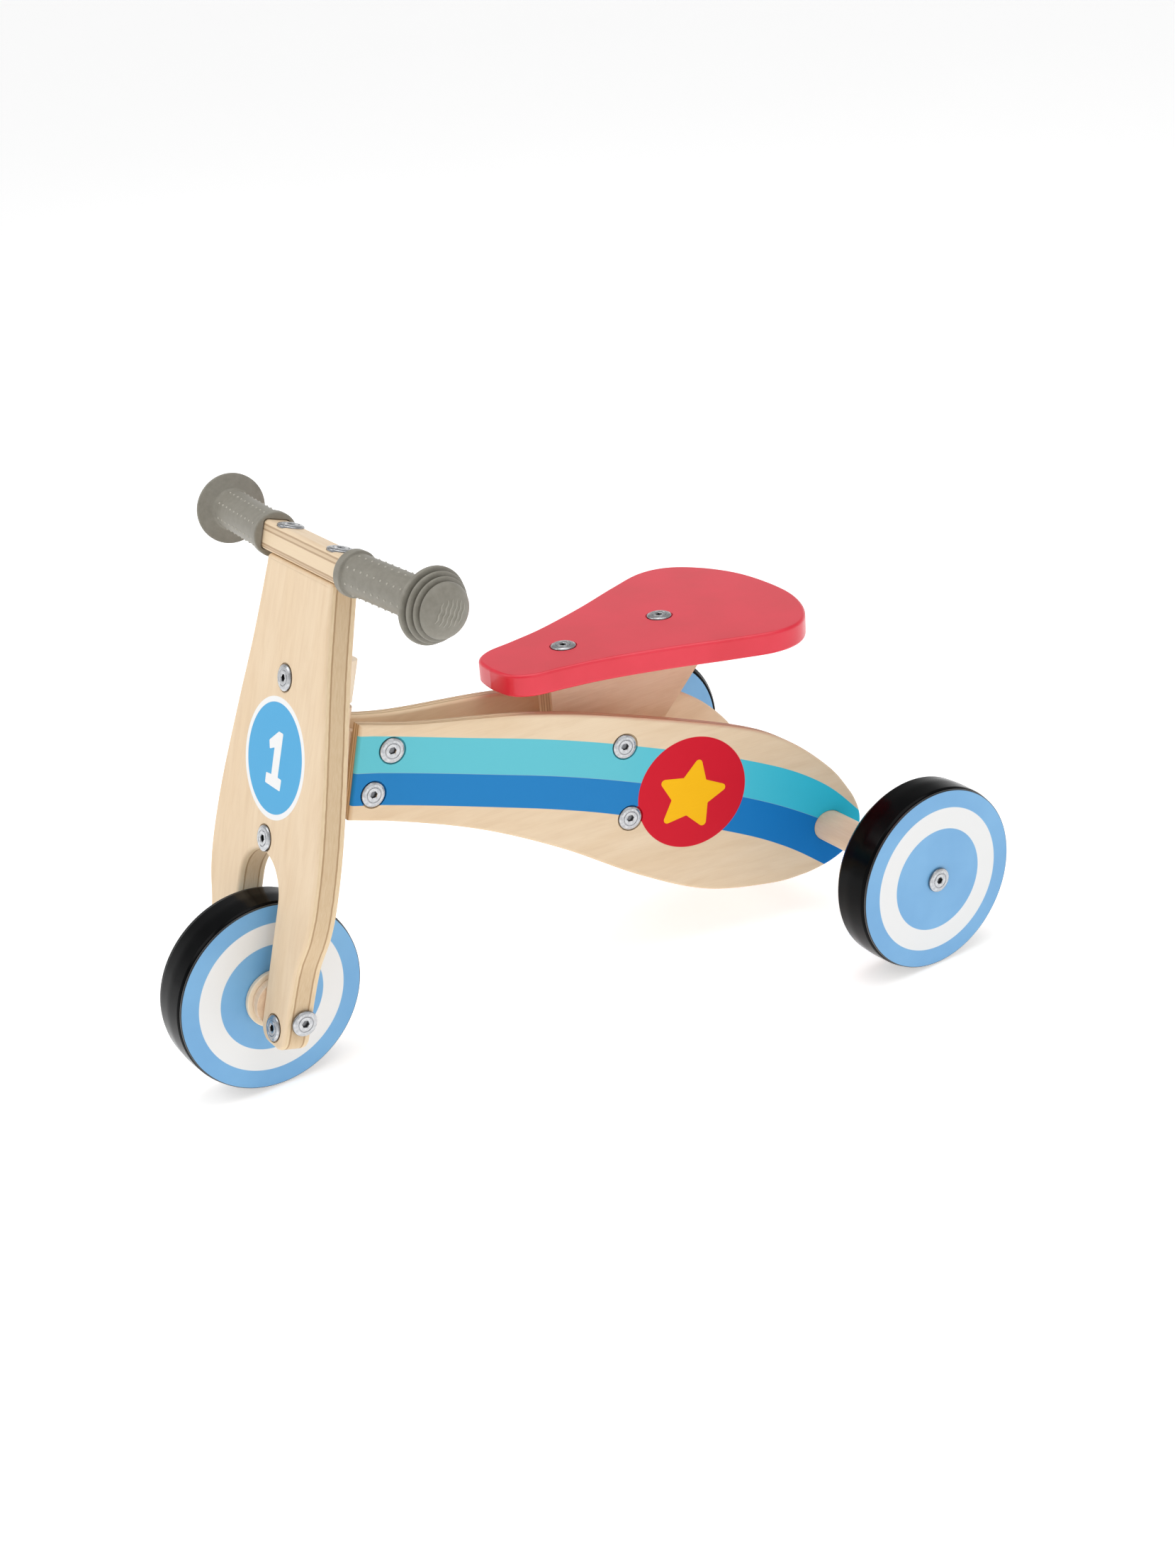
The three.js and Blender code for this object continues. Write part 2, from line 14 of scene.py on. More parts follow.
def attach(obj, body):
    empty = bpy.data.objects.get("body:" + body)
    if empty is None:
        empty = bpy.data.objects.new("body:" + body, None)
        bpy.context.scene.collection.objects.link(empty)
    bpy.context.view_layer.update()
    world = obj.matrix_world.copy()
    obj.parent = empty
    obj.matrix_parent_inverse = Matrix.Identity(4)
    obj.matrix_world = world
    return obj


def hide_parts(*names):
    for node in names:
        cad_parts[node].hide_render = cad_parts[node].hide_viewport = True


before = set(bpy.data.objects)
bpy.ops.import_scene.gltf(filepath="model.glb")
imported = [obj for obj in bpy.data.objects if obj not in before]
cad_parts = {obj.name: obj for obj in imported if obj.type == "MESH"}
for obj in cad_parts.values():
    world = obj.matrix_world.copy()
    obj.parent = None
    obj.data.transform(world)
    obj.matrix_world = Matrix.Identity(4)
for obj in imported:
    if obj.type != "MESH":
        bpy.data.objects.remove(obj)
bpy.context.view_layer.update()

MM = 0.001
FRONT_Y = -201.0
REAR_Y = 201.0
AXLE_UP = 62.5
AXLE_BORE = 4.4
WHEEL_WIDTH = 30.0
TRACK_OUTER = 172.0
RAKE = math.radians(16.2)
FORK_OFFSET = 11.9
FORK_THICK = 18.0
BOARD_THICK = 10.0
SUPPORT_THICK = 16.0
BAR_HIGH = 18.0
SIDES = (("left", 1), ("right", -1))


# --- Camera ---
def add_camera():
    """Looks down at the bike from its front left, with a slight roll."""
    azimuth = math.radians(57.63)
    elevation = math.radians(24.63)
    roll = math.radians(-4.66)
    level = Vector((math.cos(azimuth), math.sin(azimuth), 0))
    back = Vector(
        (
            math.sin(azimuth) * math.cos(elevation),
            -math.cos(azimuth) * math.cos(elevation),
            math.sin(elevation),
        )
    )
    rise = back.cross(level)
    right = level * math.cos(roll) + rise * math.sin(roll)
    up = rise * math.cos(roll) - level * math.sin(roll)
    data = bpy.data.cameras.new("camera")
    data.lens = 51.97
    data.sensor_width = 36
    data.clip_start = 0.05
    data.clip_end = 60
    camera = bpy.data.objects.new("camera", data)
    bpy.context.scene.collection.objects.link(camera)
    place = Matrix((right, up, back)).transposed().to_4x4()
    place.translation = Vector((1.1489, -0.6794, 0.7447))
    camera.matrix_world = place
    bpy.context.scene.camera = camera


add_camera()


# --- Materials ---
def srgb(red, green, blue):
    """A screen colour from 0 to 255 as a linear RGBA colour."""

    def linear(value):
        value /= 255
        return value / 12.92 if value <= 0.04045 else ((value + 0.055) / 1.055) ** 2.4

    return (linear(red), linear(green), linear(blue), 1.0)


EDGE = 0.0003
PRINT_EDGE = 0.0004
PAINT_EDGE = 0.00035
SOFT_STEP = [(0.3, 0.0), (0.7, 1.0)]


class Finish:
    """A procedural material: short ways to add and join its nodes. Its lengths are metres."""

    def __init__(self, name, **shader):
        self.material = bpy.data.materials.new(name)
        self.material.use_nodes = True
        self.tree = self.material.node_tree
        self.shader = self.tree.nodes["Principled BSDF"]
        for key, value in shader.items():
            self.shader.inputs[key.replace("_", " ")].default_value = value

    def plug(self, socket, value):
        if isinstance(value, bpy.types.NodeSocket):
            self.tree.links.new(value, socket)
        else:
            socket.default_value = value

    def add(self, kind, inputs, **settings):
        node = self.tree.nodes.new("ShaderNode" + kind)
        for key, value in settings.items():
            setattr(node, key, value)
        for key, value in inputs.items():
            self.plug(node.inputs[key], value)
        return node

    def math(self, operation, a, b=0.0, clamp=False):
        node = self.add("Math", {0: a, 1: b}, operation=operation, use_clamp=clamp)
        return node.outputs[0]

    def blend(self, factor, a, b):
        node = self.tree.nodes.new("ShaderNodeMix")
        node.data_type = "RGBA"
        self.plug(node.inputs[0], factor)
        self.plug(node.inputs[6], a)
        self.plug(node.inputs[7], b)
        return node.outputs[2]

    def grey(self, factor, stops):
        node = self.add("ValToRGB", {0: factor})
        elements = node.color_ramp.elements
        while len(elements) < len(stops):
            elements.new(0.5)
        for element, (position, value) in zip(elements, stops):
            element.position = position
            element.color = (value, value, value, 1)
        return node.outputs[0]

    def stretched(self, place, scale):
        return self.add("Mapping", {0: place, 3: scale}).outputs[0]

    def noise(self, place, scale, detail=3.0, rough=0.5, distort=0.0):
        inputs = {"Vector": place, "Scale": scale, "Detail": detail}
        inputs["Roughness"] = rough
        inputs["Distortion"] = distort
        return self.add("TexNoise", inputs).outputs[0]

    def product(self, a, b):
        return self.math("MULTIPLY", a, b)

    def below(self, value, limit, softness=EDGE):
        """1 where value is below limit, with an edge as wide as softness."""
        step = self.math("DIVIDE", self.math("SUBTRACT", limit, value), softness)
        return self.math("ADD", step, 0.5, clamp=True)

    def bump(self, height, distance, strength):
        inputs = {"Height": height, "Distance": distance, "Strength": strength}
        return self.add("Bump", inputs).outputs[0]

    def curve(self, value, points):
        node = self.add("FloatCurve", {"Value": value})
        line = node.mapping.curves[0]
        line.points[0].location = points[0]
        line.points[1].location = points[-1]
        for point in points[1:-1]:
            line.points.new(*point)
        node.mapping.update()
        return node.outputs[0]


def flat_place(finish):
    """Where a point lay on its board before bending: across, along and depth."""
    return finish.add("Attribute", {}, attribute_name="flat").outputs["Vector"]


def object_place(finish):
    return finish.add("TexCoord", {}).outputs["Object"]


def split(finish, place):
    return finish.add("SeparateXYZ", {0: place}).outputs


def drawn_out(finish, place, grain, ratio):
    """A place whose patterns run along the grain; the smaller the ratio, the longer they are."""
    scale = [1.0, 1.0, 1.0]
    scale[grain] = ratio
    return finish.stretched(place, scale)


def wood_colour(finish, place, grain, light, mid, dark, contrast=1.0):
    """Fine-grained wood that runs along one axis of place; returns its colour and fibre height."""
    broad = finish.noise(drawn_out(finish, place, grain, 0.16), 42, 4, 0.55, 0.9)
    figure = finish.noise(drawn_out(finish, place, grain, 0.16), 170, 3, 0.6, 0.4)
    fibre = finish.noise(drawn_out(finish, place, grain, 0.025), 1150, 4, 0.65)
    fleck = finish.noise(drawn_out(finish, place, grain, 0.09), 900, 2, 0.5)
    tone = finish.grey(broad, [(0.32, 0.0), (0.7, 1.0)])
    colour = finish.blend(tone, light, mid)
    veins = finish.grey(figure, [(0.42, 0.0), (0.72, 1.0)])
    lines = finish.grey(fibre, [(0.35, 0.0), (0.75, 1.0)])
    spots = finish.grey(fleck, [(0.66, 0.0), (0.78, 1.0)])
    for mask, strength in ((veins, 0.34), (lines, 0.2), (spots, 0.3)):
        colour = finish.blend(finish.product(mask, strength * contrast), colour, dark)
    return colour, fibre


BIRCH = (srgb(236, 214, 184), srgb(231, 206, 173), srgb(200, 163, 122))
BIRCH_EDGE = (srgb(233, 211, 177), srgb(221, 195, 158), srgb(158, 122, 86))
BEECH = (srgb(243, 218, 190), srgb(232, 204, 172), srgb(184, 144, 108))
PALE = (srgb(248, 234, 212), srgb(240, 222, 194), BIRCH[2])
MATT_PRINT = 0.14


def ply_bands(finish, depth, glue, thickness):
    """0 to 1 darkness across a plywood edge; glue lists the depths of its lines in millimetres."""
    half = 0.34 / thickness
    foot = half * 2.2
    stops = [(0.0, 0.0)]
    shade = 0.0
    for line in glue:
        at = line / thickness
        stops.append((at - foot, shade))
        stops.append((at - half, 0.95))
        stops.append((at + half, 0.95))
        shade = 0.32 if shade == 0.0 else 0.0
        stops.append((at + foot, shade))
    return finish.grey(finish.math("DIVIDE", depth, thickness * MM), stops)


def shown_between(finish, value, low, high, outside, inside):
    """One colour where a value lies between two limits in millimetres, another elsewhere."""
    above = finish.below(low * MM, value)
    under = finish.below(value, high * MM)
    return finish.blend(finish.product(above, under), outside, inside)


def board_wood(finish, place, grain, thickness, glue):
    """Plywood's colour, veneer on its faces and plies on its edges, with its fibre and place."""
    veneer = 1.35
    face, fibre = wood_colour(finish, place, grain, *BIRCH, 0.55)
    streak = finish.noise(finish.stretched(place, (0.25, 0.25, 2.2)), 700, 4, 0.6)
    parts = split(finish, place)
    depth = parts[2]
    edge = finish.blend(finish.grey(streak, SOFT_STEP), BIRCH_EDGE[0], BIRCH_EDGE[1])
    wobble = finish.product(finish.noise(place, 160, 2), 0.0006)
    bands = ply_bands(finish, finish.math("ADD", depth, wobble), glue, thickness)
    edge = finish.blend(finish.product(bands, 0.8), edge, BIRCH_EDGE[2])
    colour = shown_between(finish, depth, veneer, thickness - veneer, face, edge)
    return colour, fibre, parts


def finish_surface(finish, colour, cloud, relief, base, spread, distance, strength):
    """Joins up a colour, a roughness that a cloud raises from its base, and a bump."""
    finish.plug(finish.shader.inputs["Base Color"], colour)
    rough = finish.math("ADD", finish.product(cloud, spread), base)
    finish.plug(finish.shader.inputs["Roughness"], rough)
    finish.plug(finish.shader.inputs["Normal"], finish.bump(relief, distance, strength))
    return finish.material


def finish_wood(finish, colour, fibre, distance=0.00006):
    return finish_surface(finish, colour, fibre, fibre, base=0.4, spread=0.16,
                          distance=distance, strength=0.5)


def circle_from(finish, across, along, centre=(0, 0)):
    """Distance from a centre given in millimetres."""
    a = finish.math("SUBTRACT", across, centre[0] * MM)
    b = finish.math("SUBTRACT", along, centre[1] * MM)
    total = finish.math("ADD", finish.product(a, a), finish.product(b, b))
    return finish.math("SQRT", total)


STRIPE_SPAN = (500, 250)  # what the stripes' curves divide by to run from 0 to 1
STRIPE_HIGH = [(0, 233), (81, 212), (146, 193.4), (217, 172.8), (285, 148.9), (339, 128),
               (392, 99.9), (424, 69), (440, 48)]
STRIPE_MIDDLE = [(0, 208), (78, 188.3), (167, 162.5), (215, 147.9), (267, 129.4), (338, 100.8),
                 (391, 72), (430, 44)]
STRIPE_LOW = [(0, 188), (74, 168), (165, 140.4), (213, 124.9), (247, 112.3), (325, 79),
              (364, 58.4), (398, 33.5), (420, 15)]
SIDE_DISC = (302, 113.6)
SIDE_DISC_RADIUS = 38.9
FORK_DISC = (0, 152.1)
FORK_DISC_RADIUS = 33.9
FORK_RING_RADIUS = 37.3
WHEEL_RING = (34.9, 49.2)


def side_board_finish():
    """Birch with a teal and a blue stripe and a red disc printed on its outer face."""
    finish = Finish("printed_side_board", Specular_IOR_Level=MATT_PRINT)
    place = flat_place(finish)
    colour, fibre, parts = board_wood(finish, place, 0, BOARD_THICK, (2.6, 5.0, 7.4))
    back = finish.math("DIVIDE", parts[0], STRIPE_SPAN[0] * MM)
    up = finish.math("DIVIDE", parts[1], STRIPE_SPAN[1] * MM)

    def under(points):
        line = finish.curve(back, [(b / STRIPE_SPAN[0], u / STRIPE_SPAN[1]) for b, u in points])
        return finish.below(up, line, PAINT_EDGE / (STRIPE_SPAN[1] * MM))

    grain_show = finish.product(fibre, 0.1)
    # Painted shade: the teal and blue stripes turn deeper towards the board's rear, where it bends
    # away from the light.
    rear_painted_shade = finish.grey(back, [(0.5, 0.0), (0.82, 1.0)])
    teal = finish.blend(grain_show, srgb(102, 198, 212), srgb(84, 182, 202))
    teal = finish.blend(rear_painted_shade, teal, srgb(42, 192, 218))
    blue = finish.blend(grain_show, srgb(34, 129, 195), srgb(22, 108, 180))
    blue = finish.blend(rear_painted_shade, blue, srgb(0, 116, 190))
    red = finish.blend(grain_show, srgb(212, 22, 44), srgb(190, 12, 36))
    under_middle = under(STRIPE_MIDDLE)
    band_teal = finish.math("SUBTRACT", under(STRIPE_HIGH), under_middle, clamp=True)
    band_blue = finish.math("SUBTRACT", under_middle, under(STRIPE_LOW), clamp=True)
    distance = circle_from(finish, parts[0], parts[1], SIDE_DISC)
    disc = finish.below(distance, SIDE_DISC_RADIUS * MM, PAINT_EDGE)
    on_face = finish.below(parts[2], 2.2 * MM, PRINT_EDGE)
    for mask, paint in ((band_teal, teal), (band_blue, blue), (disc, red)):
        colour = finish.blend(finish.product(mask, on_face), colour, paint)
    return finish_wood(finish, colour, fibre)


def fork_finish():
    """Birch with a blue disc in a white ring printed on its front."""
    finish = Finish("printed_fork_board", Specular_IOR_Level=MATT_PRINT)
    place = flat_place(finish)
    colour, fibre, parts = board_wood(finish, place, 1, FORK_THICK, (4.2, 13.8))
    distance = circle_from(finish, parts[0], parts[1], FORK_DISC)
    on_face = finish.below(parts[2], 2 * MM, PRINT_EDGE)
    sky = finish.blend(finish.product(fibre, 0.12), srgb(86, 172, 220), srgb(64, 152, 206))
    for radius, paint in ((FORK_RING_RADIUS, srgb(240, 240, 240)), (FORK_DISC_RADIUS, sky)):
        disc = finish.below(distance, radius * MM, PAINT_EDGE)
        colour = finish.blend(finish.product(disc, on_face), colour, paint)
    return finish_wood(finish, colour, fibre)


def plain_wood_finish(name, tones, grain, contrast):
    finish = Finish(name, Coat_Weight=0.05, Coat_Roughness=0.4)
    colour, fibre = wood_colour(finish, object_place(finish), grain, *tones, contrast)
    return finish_wood(finish, colour, fibre, distance=0.00008)


def bar_finish():
    """Plywood bar: plies lie level, so their edges show as lines along the front and back."""
    finish = Finish("ply_bar", Coat_Weight=0.1, Coat_Roughness=0.35)
    place = object_place(finish)
    face, fibre = wood_colour(finish, place, 0, *BIRCH, 0.8)
    streak = finish.noise(finish.stretched(place, (0.06, 1.0, 1.0)), 1500, 4, 0.6)
    edge = finish.blend(finish.grey(streak, SOFT_STEP), BIRCH_EDGE[0], BIRCH[1])
    height = finish.math("ADD", split(finish, place)[2], BAR_HIGH / 2 * MM)
    wobble = finish.noise(finish.stretched(place, (0.3, 1.0, 1.0)), 260, 2)
    height = finish.math("ADD", height, finish.product(wobble, 0.0005))
    bands = ply_bands(finish, height, (2.2, 3.7, 12.4, 15.4), BAR_HIGH)
    edge = finish.blend(finish.product(bands, 0.75), edge, BIRCH_EDGE[2])
    colour = shown_between(finish, height, 1.3, 16.9, face, edge)
    return finish_wood(finish, colour, fibre)


def support_finish():
    """The board under the seat: its plies stand upright, so they show on its edges."""
    finish = Finish("ply_support", Coat_Weight=0.06, Coat_Roughness=0.4)
    place = object_place(finish)
    face, fibre = wood_colour(finish, place, 1, *BIRCH)
    depth = finish.math("ADD", split(finish, place)[0], SUPPORT_THICK / 2 * MM)
    streak = finish.noise(finish.stretched(place, (2.0, 0.2, 0.2)), 800, 4, 0.6)
    edge = finish.blend(finish.grey(streak, SOFT_STEP), BIRCH_EDGE[0], BIRCH_EDGE[1])
    bands = ply_bands(finish, depth, (3.2, 6.4, 9.6, 12.8), SUPPORT_THICK)
    edge = finish.blend(finish.product(bands, 0.7), edge, BIRCH_EDGE[2])
    colour = shown_between(finish, depth, 1.0, SUPPORT_THICK - 1.0, face, edge)
    return finish_wood(finish, colour, fibre)


def lacquer(finish, place, low, high, base):
    """Brushed-on paint: a faint change of tone, an orange-peel surface and uneven gloss."""
    cloud = finish.noise(place, 28, 3, 0.5)
    peel = finish.noise(place, 520, 2, 0.5)
    tone = finish.grey(cloud, [(0.35, 0.0), (0.65, 1.0)])
    colour = finish.blend(tone, low, high)
    finish_surface(finish, colour, cloud, peel, base, spread=0.12,
                   distance=0.00005, strength=0.35)
    return colour


def wheel_finish(both):
    """Sky-blue paint with a white ring on the outer face, or on both; the rim's edge is black."""
    finish = Finish("wheel_paint_ringed", Coat_Weight=0.25, Coat_Roughness=0.25)
    place = object_place(finish)
    colour = lacquer(finish, place, srgb(106, 166, 214), srgb(116, 175, 220), 0.32)
    parts = split(finish, place)
    distance = circle_from(finish, parts[1], parts[2])
    inside = finish.below(distance, WHEEL_RING[1] * MM, PAINT_EDGE)
    outside = finish.below(WHEEL_RING[0] * MM, distance, PAINT_EDGE)
    faces = finish.below(28.4 * MM, parts[0], PRINT_EDGE)
    if both:
        other = finish.below(parts[0], 1.6 * MM, PRINT_EDGE)
        faces = finish.math("ADD", faces, other, clamp=True)
    ring = finish.product(finish.product(inside, outside), faces)
    colour = finish.blend(ring, colour, srgb(232, 232, 231))
    brink = finish.below(60.6 * MM, distance)
    colour = finish.blend(brink, colour, srgb(12, 13, 14))
    finish.plug(finish.shader.inputs["Base Color"], colour)
    return finish.material


def seat_finish():
    finish = Finish("seat_paint", Coat_Weight=0.5, Coat_Roughness=0.16, Specular_IOR_Level=0.4)
    lacquer(finish, object_place(finish), srgb(222, 28, 52), srgb(230, 38, 62), 0.36)
    return finish.material


def print_finish(name, low, high):
    finish = Finish(name, Specular_IOR_Level=MATT_PRINT)
    fibre = finish.noise(drawn_out(finish, flat_place(finish), 0, 0.05), 1150, 4, 0.65)
    return finish_wood(finish, finish.blend(finish.product(fibre, 0.5), low, high), fibre)


def tyre_finish():
    finish = Finish("tyre_rubber", IOR=1.16)
    place = object_place(finish)
    smudge = finish.noise(place, 55, 4, 0.6, 0.5)
    fine = finish.noise(place, 1400, 2, 0.5)
    tone = finish.grey(smudge, [(0.4, 0.0), (0.75, 1.0)])
    colour = finish.blend(tone, srgb(4, 5, 6), srgb(9, 10, 11))
    return finish_surface(finish, colour, smudge, fine, base=0.12, spread=0.12,
                          distance=0.00002, strength=0.25)


def grip_finish():
    """Soft grey rubber; the raised dots and ribs are painted paler, a painted highlight."""
    finish = Finish("grip_rubber", Sheen_Weight=0.12, Sheen_Roughness=0.4)
    place = object_place(finish)
    mottle = finish.noise(place, 240, 4, 0.6)
    fine = finish.noise(place, 2600, 2, 0.6)
    tone = finish.grey(mottle, [(0.35, 0.0), (0.7, 1.0)])
    colour = finish.blend(tone, srgb(128, 124, 113), srgb(139, 135, 124))
    # Painted highlight: the raised dots and ribs are painted paler, as where they catch the light.
    raised_highlight = finish.add("Attribute", {}, attribute_name="raised_highlight").outputs["Fac"]
    colour = finish.blend(finish.product(raised_highlight, 0.8), colour, srgb(186, 182, 170))
    return finish_surface(finish, colour, mottle, fine, base=0.44, spread=0.16,
                          distance=0.00004, strength=0.4)


def zinc_finish(name, is_bolt):
    """Bright zinc plate; a bolt head gets painted shade in its socket, in its groove and round its
    rim.
    """
    finish = Finish(name, Metallic=1.0)
    place = object_place(finish)
    cloud = finish.noise(place, 420, 4, 0.6)
    scratch = finish.noise(drawn_out(finish, place, 1, 0.08), 3200, 3, 0.6)
    colour = finish.blend(finish.grey(cloud, SOFT_STEP), srgb(202, 203, 205), srgb(166, 168, 171))
    if is_bolt:
        parts = split(finish, place)
        distance = circle_from(finish, parts[1], parts[2])
        # Painted shade on a bolt head: its socket, its groove and a ring round its rim are darkened
        # where shade falls.
        sunk = finish.below(parts[0], 1.75 * MM)
        socket_shade = finish.product(finish.below(distance, 2.6 * MM), sunk)
        rim = finish.product(finish.below(8.0 * MM, distance), sunk)
        groove_shade = finish.product(
            finish.below(distance, 5.2 * MM), finish.below(4.5 * MM, distance)
        )
        colour = finish.blend(finish.product(groove_shade, 0.12), colour, srgb(96, 97, 100))
        # Painted shade: the socket and the rim ring are darkened together.
        dark = finish.math("ADD", socket_shade, finish.product(rim, 0.6), clamp=True)
        colour = finish.blend(dark, colour, srgb(108, 109, 112))
    return finish_surface(finish, colour, cloud, scratch, base=0.12, spread=0.22,
                          distance=0.00002, strength=0.5)


FORK_WOOD = fork_finish()
SIDE_WOOD = side_board_finish()
BAR_WOOD = bar_finish()
SUPPORT_WOOD = support_finish()
BEECH_X = plain_wood_finish("beech_across", BEECH, 0, 0.6)
BEECH_Z = plain_wood_finish("beech_upright", BEECH, 2, 0.6)
PALE_WOOD = plain_wood_finish("pale_hub_wood", PALE, 2, 0.4)
WHEEL_BOTH = wheel_finish(True)
WHEEL_ONE = wheel_finish(False)
SEAT_RED = seat_finish()
STAR_YELLOW = print_finish("printed_yellow", srgb(255, 194, 14), srgb(244, 178, 8))
DIGIT_WHITE = print_finish("printed_white", srgb(242, 242, 242), srgb(232, 232, 230))
TYRE = tyre_finish()
GRIP = grip_finish()
ZINC = zinc_finish("bright_zinc", False)
BOLT_ZINC = zinc_finish("bolt_zinc_painted_shade", True)


# --- Shape helpers ---
def spline(points, steps):
    """A uniform Catmull-Rom curve through the points."""
    line = []
    last = len(points) - 1
    for i in range(last):
        a = Vector(points[max(i - 1, 0)])
        b = Vector(points[i])
        c = Vector(points[i + 1])
        d = Vector(points[min(i + 2, last)])
        u = (c - a) / 2
        v = (d - b) / 2
        for k in range(steps):
            t = k / steps
            cubic = (2 * b - 2 * c + u + v) * t**3
            square = (3 * c - 3 * b - 2 * u - v) * t**2
            line.append(cubic + square + u * t + b)
    line.append(Vector(points[last]))
    return line


def bezier(points, steps):
    """A quadratic or cubic Bezier curve, without its first point."""
    line = []
    for k in range(1, steps + 1):
        t = k / steps
        row = [Vector(p) for p in points]
        while len(row) > 1:
            row = [a.lerp(b, t) for a, b in zip(row, row[1:])]
        line.append(row[0])
    return line


def rounded(corners, steps, closed=True):
    """Points (x, y, radius) joined up, with each corner turned into an arc of its radius."""
    line = []
    count = len(corners)
    for i, (x, y, radius) in enumerate(corners):
        here = Vector((x, y))
        ended = not closed and i in (0, count - 1)
        if radius <= 0 or ended:
            line.append(here)
            continue
        before = (Vector(corners[i - 1][:2]) - here).normalized()
        after = (Vector(corners[(i + 1) % count][:2]) - here).normalized()
        half = before.angle(after) / 2
        centre = here + (before + after).normalized() * (radius / math.sin(half))
        start = here + before * (radius / math.tan(half)) - centre
        end = here + after * (radius / math.tan(half)) - centre
        first = math.atan2(start.y, start.x)
        sweep = math.atan2(end.y, end.x) - first
        sweep = (sweep + math.pi) % (2 * math.pi) - math.pi
        for k in range(steps + 1):
            angle = first + sweep * k / steps
            line.append(centre + Vector((math.cos(angle), math.sin(angle))) * radius)
    return line


def tidy(outline):
    """Drops repeated points and makes the outline run anticlockwise."""
    same = 0.02
    kept = []
    for point in outline:
        if not kept or (point - kept[-1]).length > same:
            kept.append(point)
    if (kept[0] - kept[-1]).length <= same:
        kept.pop()
    area = sum(a.x * b.y - b.x * a.y for a, b in zip(kept, kept[1:] + kept[:1]))
    return kept if area > 0 else kept[::-1]


def inset(outline, distance):
    """An anticlockwise outline moved inwards."""
    moved = []
    count = len(outline)
    for i, here in enumerate(outline):
        a = (here - outline[i - 1]).normalized()
        b = (outline[(i + 1) % count] - here).normalized()
        lean = Vector((-a.y - b.y, a.x + b.x))
        moved.append(here + lean * (distance / max(0.5, 1 + a.dot(b))))
    return moved


def join_rings(shape, rings):
    """Skins a row of equal rings of vertices and closes both ends."""
    for low, high in zip(rings, rings[1:]):
        for i in range(len(low)):
            j = (i + 1) % len(low)
            shape.faces.new((low[i], low[j], high[j], high[i]))
    shape.faces.new(rings[0][::-1])
    shape.faces.new(rings[-1])


def plate(outline, thickness, ease, steps=5):
    """A flat board from 0 to thickness in Z with rounded edges."""
    shape = bmesh.new()
    outline = tidy(outline)
    levels = []
    for k in range(steps + 1):
        angle = k * math.pi / 2 / steps
        levels.append((ease * (1 - math.sin(angle)), ease * (1 - math.cos(angle))))
    levels += [(inward, thickness - depth) for inward, depth in reversed(levels)]
    rings = []
    for inward, depth in levels:
        loop = inset(outline, inward) if inward > 1e-6 else outline
        rings.append([shape.verts.new((p.x, p.y, depth)) for p in loop])
    join_rings(shape, rings)
    bmesh.ops.recalc_face_normals(shape, faces=shape.faces)
    return shape


def mesh_of(shape, name="work"):
    mesh = bpy.data.meshes.new(name)
    shape.to_mesh(mesh)
    shape.free()
    return mesh


def carved(shape, cutters):
    """Cuts round holes (x, y, radius, from, to) along Z out of a solid."""
    tools = bmesh.new()
    for x, y, radius, low, high in cutters:
        place = Matrix.Translation((x, y, (low + high) / 2))
        bmesh.ops.create_cone(
            tools,
            cap_ends=True,
            segments=64,
            radius1=radius,
            radius2=radius,
            depth=high - low,
            matrix=place,
        )
    body = bpy.data.objects.new("work_body", mesh_of(shape))
    tool = bpy.data.objects.new("work_tool", mesh_of(tools))
    for item in (body, tool):
        bpy.context.scene.collection.objects.link(item)
    cut = body.modifiers.new("cut", "BOOLEAN")
    cut.operation = "DIFFERENCE"
    cut.solver = "MANIFOLD"
    cut.object = tool
    graph = bpy.context.evaluated_depsgraph_get()
    result = bpy.data.meshes.new_from_object(body.evaluated_get(graph))
    for item in (body, tool):
        bpy.data.objects.remove(item)
    fresh = bmesh.new()
    fresh.from_mesh(result)
    return fresh


def sliced(shape, axis, low, high, step):
    """Cuts a mesh across one axis at regular places, so that it can be bent."""
    normal = Vector((0, 0, 0))
    normal[axis] = 1
    at = low
    while at <= high:
        parts = shape.verts[:] + shape.edges[:] + shape.faces[:]
        bmesh.ops.bisect_plane(shape, geom=parts, plane_co=normal * at, plane_no=normal)
        at += step
    return shape


def polar(profile, segments):
    """Turns (radius, along) points about +X; a radius may be a function of the angle."""
    shape = bmesh.new()
    rings = []
    for radius, along in profile:
        if radius == 0:
            rings.append([shape.verts.new((along, 0, 0))])
            continue
        ring = []
        for i in range(segments):
            angle = 2 * math.pi * i / segments
            reach = radius(angle) if callable(radius) else radius
            spot = (along, reach * math.cos(angle), reach * math.sin(angle))
            ring.append(shape.verts.new(spot))
        rings.append(ring)
    for low, high in zip(rings, rings[1:]):
        for i in range(segments):
            j = (i + 1) % segments
            if len(low) == 1:
                shape.faces.new((low[0], high[j], high[i]))
            elif len(high) == 1:
                shape.faces.new((low[i], low[j], high[0]))
            else:
                shape.faces.new((low[i], low[j], high[j], high[i]))
    bmesh.ops.recalc_face_normals(shape, faces=shape.faces)
    return shape


def turned(line, segments):
    """The same for a line of points."""
    return polar([(p.x, p.y) for p in line], segments)


def hexagon(size):
    """Radius by angle of a six-sided socket that is size across its corners."""
    flat = size / 2 * math.cos(math.pi / 6)

    def radius(angle):
        return flat / math.cos((angle % (math.pi / 3)) - math.pi / 6)

    return radius


def softened_box(half_a, half_b, corner):
    """Radius by angle of a rectangle with rounded corners."""
    power = 2 + 2.2 * min(half_a, half_b) / corner

    def radius(angle):
        a = abs(math.cos(angle)) / half_a
        b = abs(math.sin(angle)) / half_b
        return (a**power + b**power) ** (-1 / power)

    return radius


def scaled(shape, bend=None, flat=False):
    """Millimetres to metres. bend maps a flat point; flat keeps the unbent place for materials."""
    layer = shape.verts.layers.float_vector.new("flat") if flat else None
    for vert in shape.verts:
        if flat:
            vert[layer] = vert.co * MM
        if bend:
            vert.co = bend(vert.co)
        vert.co = vert.co * MM
    return shape


